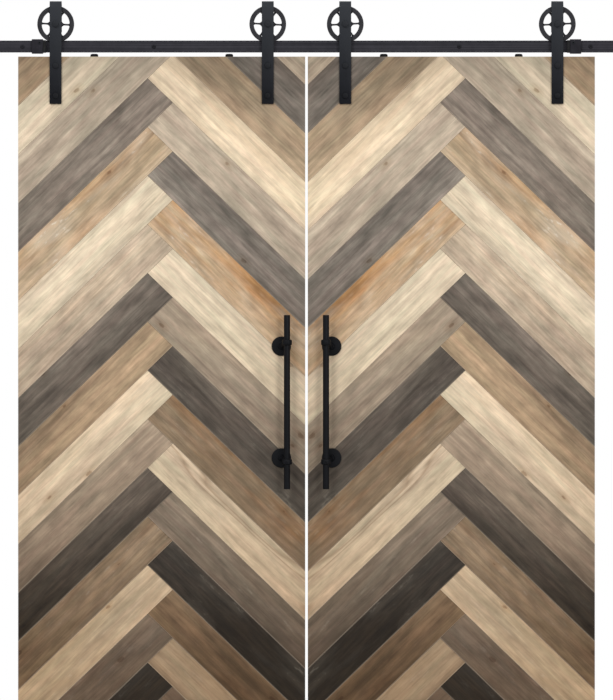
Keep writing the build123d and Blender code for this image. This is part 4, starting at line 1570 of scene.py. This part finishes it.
@dataclass
class Handle:
    """A round bar held off the leaf by two leaning posts on round plates."""

    side: Side
    bar_radius: float = 10.0 * MM
    bar_round: float = 1.5 * MM
    bar_steps: int = 64
    standoff: float = 45.0 * MM
    plate_radius: float = 31.0 * MM
    plate_thickness: float = 5.0 * MM
    plate_round: float = 2.0 * MM
    plate_steps: int = 72
    plate_spread: float = 178.0 * MM
    plate_offset: float = 18.0 * MM
    clamp_spread: float = 190.0 * MM
    clamp_radius: float = 16.0 * MM
    clamp_length: float = 18.0 * MM
    clamp_round: float = 4.0 * MM
    clamp_arris: float = 0.3 * MM
    clamp_slack: float = 0.02 * MM
    clamp_screw: float = 5.0 * MM
    clamp_head: SocketHead = SocketHead(8.0 * MM, 1.8 * MM, 3.0 * MM, 1.0 * MM, 0.7 * MM)
    post_radius: float = 7.5 * MM
    post_sink: float = 2.0 * MM
    post_steps: int = 40
    foot_radius: float = 12.0 * MM
    foot_taper: float = 4.2 * MM
    foot_height: float = 7.0 * MM
    bolt: float = 6.0 * MM
    bolt_bite: float = 8.0 * MM
    bolt_head: SocketHead = SocketHead(15.0 * MM, 3.0 * MM, 5.0 * MM, 1.8 * MM, 1.0 * MM)

    def build(self, finishes: Finishes) -> None:
        """Make the bar, the posts with their clamps, the plates and the screws.

        Args:
            finishes: The pair's materials.
        """
        low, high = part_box(f"{self.side.label}_handle_bar")
        x, middle, length = (low.x + high.x) / 2, (low.z + high.z) / 2, high.z - low.z
        plate_x = x + self.side.value * self.plate_offset
        bar, posts, plates, screws, bolts = (MeshBuilder() for _ in range(5))
        rod = section(0.0, self.bar_radius, 0.0, length)
        ends = tuple((self.bar_radius, along, self.bar_round) for along in (0.0, length))
        bar.turned(rod, Datum.at(x, -self.standoff, low.z), UP, self.bar_steps, rounds=ends)
        disc = section(0.0, self.plate_radius, 0.0, self.plate_thickness)
        rim = ((self.plate_radius, self.plate_thickness, self.plate_round),)
        for end in (-1, 1):
            foot = Datum.at(plate_x, -self.plate_thickness, middle + end * self.plate_spread)
            clamp = Datum.at(x, -self.standoff, middle + end * self.clamp_spread)
            self.add_post(posts, foot, clamp)
            plates.turned(disc, Datum.at(plate_x, 0.0, foot.z), VIEWER, self.plate_steps, rounds=rim)
            face = clamp + VIEWER * self.clamp_radius
            screws.socket_head(face, VIEWER, self.clamp_head)
            screws.rod(face, WALL, self.clamp_screw, self.clamp_radius - self.bar_radius)
            back = Datum.at(plate_x, LEAF, foot.z)
            bolts.socket_head(back, WALL, self.bolt_head)
            bolts.rod(back, VIEWER, self.bolt, LEAF + self.plate_thickness + self.bolt_bite)
        for builder, name, node, finish in (
            (bar, "pull_bar", "handle_bar", finishes.handle),
            (posts, "pull_posts", "handle_posts", finishes.handle),
            (plates, "pull_plates", "handle_plates", finishes.handle),
            (screws, "pull_clamp_screws", "clamp_screws", finishes.bolt),
            (bolts, "pull_bolts", "handle_bolts", finishes.bolt),
        ):
            builder.leaf_piece(self.side, name, finish, node)

    def add_post(self, posts: MeshBuilder, foot: Vector, clamp: Vector) -> None:
        """Add one leaning post, its spreading foot and the clamp ring round the bar.

        Args:
            posts: The posts' mesh.
            foot: Where the post stands on its plate.
            clamp: The middle of the clamp ring.
        """
        lean = clamp - foot
        reach = lean.length - 0.9 * self.bar_radius
        posts.turned(section(0.0, self.post_radius, -self.post_sink, reach), foot, lean, self.post_steps)
        flare = [
            (self.foot_radius - self.foot_taper * (step / 6) ** 0.5, self.foot_height * step / 6)
            for step in range(7)
        ]
        posts.turned([(0.0, 0.0)] + flare + [(0.0, self.foot_height)], foot, VIEWER)
        outer, half = self.clamp_radius, self.clamp_length / 2
        ring = section(self.bar_radius + self.clamp_slack, outer, -half, half)
        ends = tuple((outer, along, self.clamp_round) for along in (-half, half))
        posts.turned(ring, clamp, UP, self.bar_steps, self.clamp_arris, closed=True, rounds=ends)


@dataclass
class Track:
    """What holds the rail to the wall: the spacer tubes and the wall bolts."""

    rail_end_inset: float = 85.9 * MM
    bolt_pitch: float = 418.7 * MM
    outer_bolts: int = 4
    spacer_radius: float = 11.0 * MM
    spacer_bore: float = 4.25 * MM
    spacer_arris: float = 0.6 * MM
    spacer_steps: int = 40
    head: SocketHead = SocketHead(12.5 * MM, 4.5 * MM, 5.0 * MM, 2.5 * MM, 2.25 * MM)
    neck: float = 8.0 * MM
    core: float = 5.6 * MM
    core_point: float = 2.4 * MM
    thread: float = 7.4 * MM
    thread_length: float = 44.0 * MM
    thread_pitch: float = 3.2 * MM
    point: float = 3.0 * MM

    def bolt_places(self) -> list[float]:
        """List the X of every wall bolt.

        Returns:
            One behind each inner strap, and the rest counted from the rail's ends.
        """
        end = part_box("track_rail")[1].x - self.rail_end_inset
        places = [end - step * self.bolt_pitch for step in range(self.outer_bolts)]
        places.append(Datum.centre("left_inner_hanger").x)
        return [side.value * abs(x) for side in Side for x in places]

    def build(self, finishes: Finishes) -> None:
        """Make the spacers and the bolts.

        Args:
            finishes: The pair's materials.
        """
        low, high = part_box("track_rail")
        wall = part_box("rail_spacers")[1].y
        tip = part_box("rail_lag_bolts")[1].y
        height = (low.z + high.z) / 2
        tube = section(self.spacer_bore, self.spacer_radius, 0.0, wall - high.y)
        thread_start = tip - self.point - self.thread_length
        spacers, bolts = MeshBuilder(), MeshBuilder()
        for x in self.bolt_places():
            seat = Vector((x, high.y, height))
            spacers.turned(tube, seat, WALL, self.spacer_steps, self.spacer_arris, closed=True)
            face = Vector((x, low.y, height))
            bolts.socket_head(face, VIEWER, self.head)
            bolts.rod(face, WALL, self.neck, thread_start - low.y)
            start = Vector((x, thread_start, height))
            bolts.rod(start, WALL, self.core, tip - thread_start, self.core_point)
            bolts.thread(start, WALL, self.thread, self.thread_length, self.thread_pitch)
        spacers.piece("rail_standoffs", finishes.strap, "track", "rail_spacers")
        bolts.piece("rail_wall_bolts", finishes.rail_bolt, "track", "rail_lag_bolts")


@dataclass
class EndStop:
    """The clamp block beside the outer wheel, with its rubber pad and its screw."""

    side: Side
    front: float = -0.175 * MM
    back: float = 23.425 * MM
    pocket_front: float = 11.575 * MM
    pocket_back: float = 18.425 * MM
    pocket_half: float = 19.25 * MM
    channel: float = 4.825 * MM
    channel_half: float = 7.5 * MM
    hook: float = 10.0 * MM
    block_half: float = 23.0 * MM
    block_round: float = 3.0 * MM
    block_arris: float = 0.8 * MM
    pad_half: float = 20.0 * MM
    pad_round: float = 2.0 * MM
    pad_arris: float = 0.25 * MM
    screw: float = 5.0 * MM
    screw_head: SocketHead = SocketHead(9.5 * MM, 3.0 * MM, 4.0 * MM, 1.6 * MM, 0.7 * MM)

    def outline(self, x: float, middle: float, half: float) -> list[Vector]:
        """The block's section round the rail.

        Args:
            x: The section's place along the rail.
            middle: The height of the rail's middle.
            half: Half the section's height.

        Returns:
            The section's corners in order.
        """
        inner = self.block_half - self.hook
        upper = [
            (self.back, half), (self.back, inner), (self.pocket_back, inner),
            (self.pocket_back, self.pocket_half), (self.pocket_front, self.pocket_half),
            (self.pocket_front, self.channel_half), (self.channel, self.channel_half),
        ]
        corners = [(self.front, -half), (self.front, half)] + upper
        corners += [(depth, -height) for depth, height in reversed(upper)]
        return [Datum.at(x, depth, middle + height) for depth, height in corners]

    def build(self, finishes: Finishes) -> None:
        """Make the block, the pad and the screw.

        Args:
            finishes: The pair's materials.
        """
        label = self.side.label
        body = f"{label}_stop"
        rail_low, rail_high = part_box("track_rail")
        middle = (rail_low.z + rail_high.z) / 2
        for node, name, half, rounding, arris, material in (
            ("end_stop", "stop_block", self.block_half, self.block_round, self.block_arris, finishes.stop),
            ("stop_bumper", "stop_pad", self.pad_half, self.pad_round, self.pad_arris, finishes.rubber),
        ):
            low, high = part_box(f"{label}_{node}")
            builder = MeshBuilder()
            builder.prism(self.outline(low.x, middle, half), Vector((high.x - low.x, 0, 0)))
            corners = [
                edge for edge in builder.bm.edges
                if all(abs(abs(vert.co.z - middle) - half) < TOUCH for vert in edge.verts)
                and abs(edge.verts[0].co.y - edge.verts[1].co.y) < TOUCH
            ]
            builder.soften(corners, rounding, builder.round_segments)
            builder.soften(builder.sharp_edges(list(builder.bm.verts)), arris)
            builder.piece(f"{label}_{name}", material, body, f"{label}_{node}")
        screw = MeshBuilder()
        low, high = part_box(f"{label}_stop_screw")
        place = Datum.at((low.x + high.x) / 2, self.front, (low.z + high.z) / 2)
        screw.socket_head(place, VIEWER, self.screw_head)
        screw.rod(place, WALL, self.screw, self.pocket_front - self.front)
        screw.piece(f"{label}_stop_clamp_screw", finishes.bolt, body, f"{label}_stop_screw")


def dress_cad_nodes(frame: dict, finishes: Finishes) -> None:
    """Give the CAD nodes their finishes, for those that stay in view.

    Args:
        frame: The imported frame.
        finishes: The pair's materials.
    """
    by_slot = {
        "steel": finishes.strap, "cast_iron": finishes.wheel, "handle_steel": finishes.handle,
        "bolt_steel": finishes.bolt, "bright_steel": finishes.steel, "rubber": finishes.rubber,
    }
    for name, node in frame["nodes"].items():
        material = finishes.rail if name == "track_rail" else by_slot.get(Datum.slots[name], finishes.plywood)
        node.data.materials.clear()
        node.data.materials.append(material)


@dataclass
class Studio:
    """The pale floor, the soft lights, the white surroundings and the camera."""

    floor_drop: float = 12.0 * MM
    floor_half: Pair = (2.6, 1.5)
    floor_grey: float = 0.86
    floor_roughness: float = 0.9
    ambient: float = 0.5
    key: float = 1.0
    key_direction: Triple = (0.5, 1.0, -0.75)
    fill: float = 0.885
    fill_direction: Triple = (-0.5, 1.0, -0.3)
    softness: float = math.radians(16.0)
    lamp_place: Triple = (0.0, -3.0, 3.0)
    distance: float = 25.0
    frame_height: float = 2.2302
    centre_height: float = 1.1988
    sensor: float = 36.0
    clip: Pair = (0.1, 200.0)

    def build(self) -> None:
        """Make all of it."""
        self.add_floor()
        self.add_world()
        self.add_sun("key", self.key_direction, self.key)
        self.add_sun("fill", self.fill_direction, self.fill)
        self.add_camera()

    @staticmethod
    def add_object(name: str, data: bpy.types.ID) -> bpy.types.Object:
        """Add an object to the scene.

        Args:
            name: The object's name.
            data: Its mesh, lamp or camera.

        Returns:
            The new object.
        """
        thing = bpy.data.objects.new(name, data)
        bpy.context.scene.collection.objects.link(thing)
        return thing

    def add_floor(self) -> None:
        """Add the floor, which keeps the object's shadow."""
        mesh = bpy.data.meshes.new("floor")
        bm = bmesh.new()
        bmesh.ops.create_grid(bm, x_segments=1, y_segments=1, size=1.0)
        bmesh.ops.scale(bm, vec=(*self.floor_half, 1.0), verts=bm.verts)
        bmesh.ops.translate(bm, vec=(0, 0, -self.floor_drop), verts=bm.verts)
        bm.to_mesh(mesh)
        bm.free()
        graph = NodeGraph("pale_floor")
        graph.dress((self.floor_grey, self.floor_grey, self.floor_grey, 1.0), self.floor_roughness)
        mesh.materials.append(graph.material)
        self.add_object("floor", mesh)

    def add_world(self) -> None:
        """Add surroundings that look white and light the object at a plain level."""
        world = bpy.data.worlds.new("studio")
        bpy.context.scene.world = world
        world.use_nodes = True
        nodes, links = world.node_tree.nodes, world.node_tree.links
        nodes.clear()
        rays = nodes.new("ShaderNodeLightPath").outputs
        seen = rays["Is Camera Ray"]
        for ray in ("Is Glossy Ray", "Is Transmission Ray"):
            either = nodes.new("ShaderNodeMath")
            either.operation = "MAXIMUM"
            links.new(seen, either.inputs[0])
            links.new(rays[ray], either.inputs[1])
            seen = either.outputs[0]
        mix = nodes.new("ShaderNodeMixShader")
        links.new(seen, mix.inputs[0])
        for socket, strength in ((mix.inputs[1], self.ambient), (mix.inputs[2], 1.0)):
            background = nodes.new("ShaderNodeBackground")
            background.inputs["Color"].default_value = (1, 1, 1, 1)
            background.inputs["Strength"].default_value = strength
            links.new(background.outputs[0], socket)
        output = nodes.new("ShaderNodeOutputWorld")
        links.new(mix.outputs[0], output.inputs["Surface"])

    def add_sun(self, name: str, direction: Triple, strength: float) -> None:
        """Add one soft sun.

        Args:
            name: The lamp's name.
            direction: The way that its light travels.
            strength: Its strength.
        """
        lamp = bpy.data.lights.new(name, "SUN")
        lamp.energy = strength
        lamp.angle = self.softness
        light = self.add_object(name, lamp)
        light.rotation_euler = Vector(direction).to_track_quat("-Z", "Y").to_euler()
        light.location = self.lamp_place

    def add_camera(self) -> None:
        """Add a long lens that looks straight at the doors, as the photograph does."""
        lens = bpy.data.cameras.new("camera")
        lens.sensor_width = self.sensor
        lens.lens = self.sensor * self.distance / self.frame_height
        lens.clip_start, lens.clip_end = self.clip
        camera = self.add_object("camera", lens)
        camera.location = (0, Datum.front - self.distance, self.centre_height)
        camera.rotation_euler = (math.radians(90), 0, 0)
        bpy.context.scene.camera = camera


def main() -> None:
    """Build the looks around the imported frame."""
    logging.basicConfig(level=logging.INFO, format="%(relativeCreated)6d ms %(message)s")
    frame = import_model()
    bpy.context.scene.view_settings.view_transform = "Standard"
    Datum.read(frame)
    finishes = Finishes(Datum.front)
    dress_cad_nodes(frame, finishes)
    Track().build(finishes)
    for side in Side:
        Boards(side).build(finishes)
        BackFrame(side).build(finishes)
        for place in Place:
            Hanger(side, place).build(finishes)
            Wheel(side, place).build(finishes)
        for assembly in (HangerFixings, TopBlocks, Handle, EndStop):
            assembly(side).build(finishes)
    Studio().build()


if __name__ == "__main__":
    main()
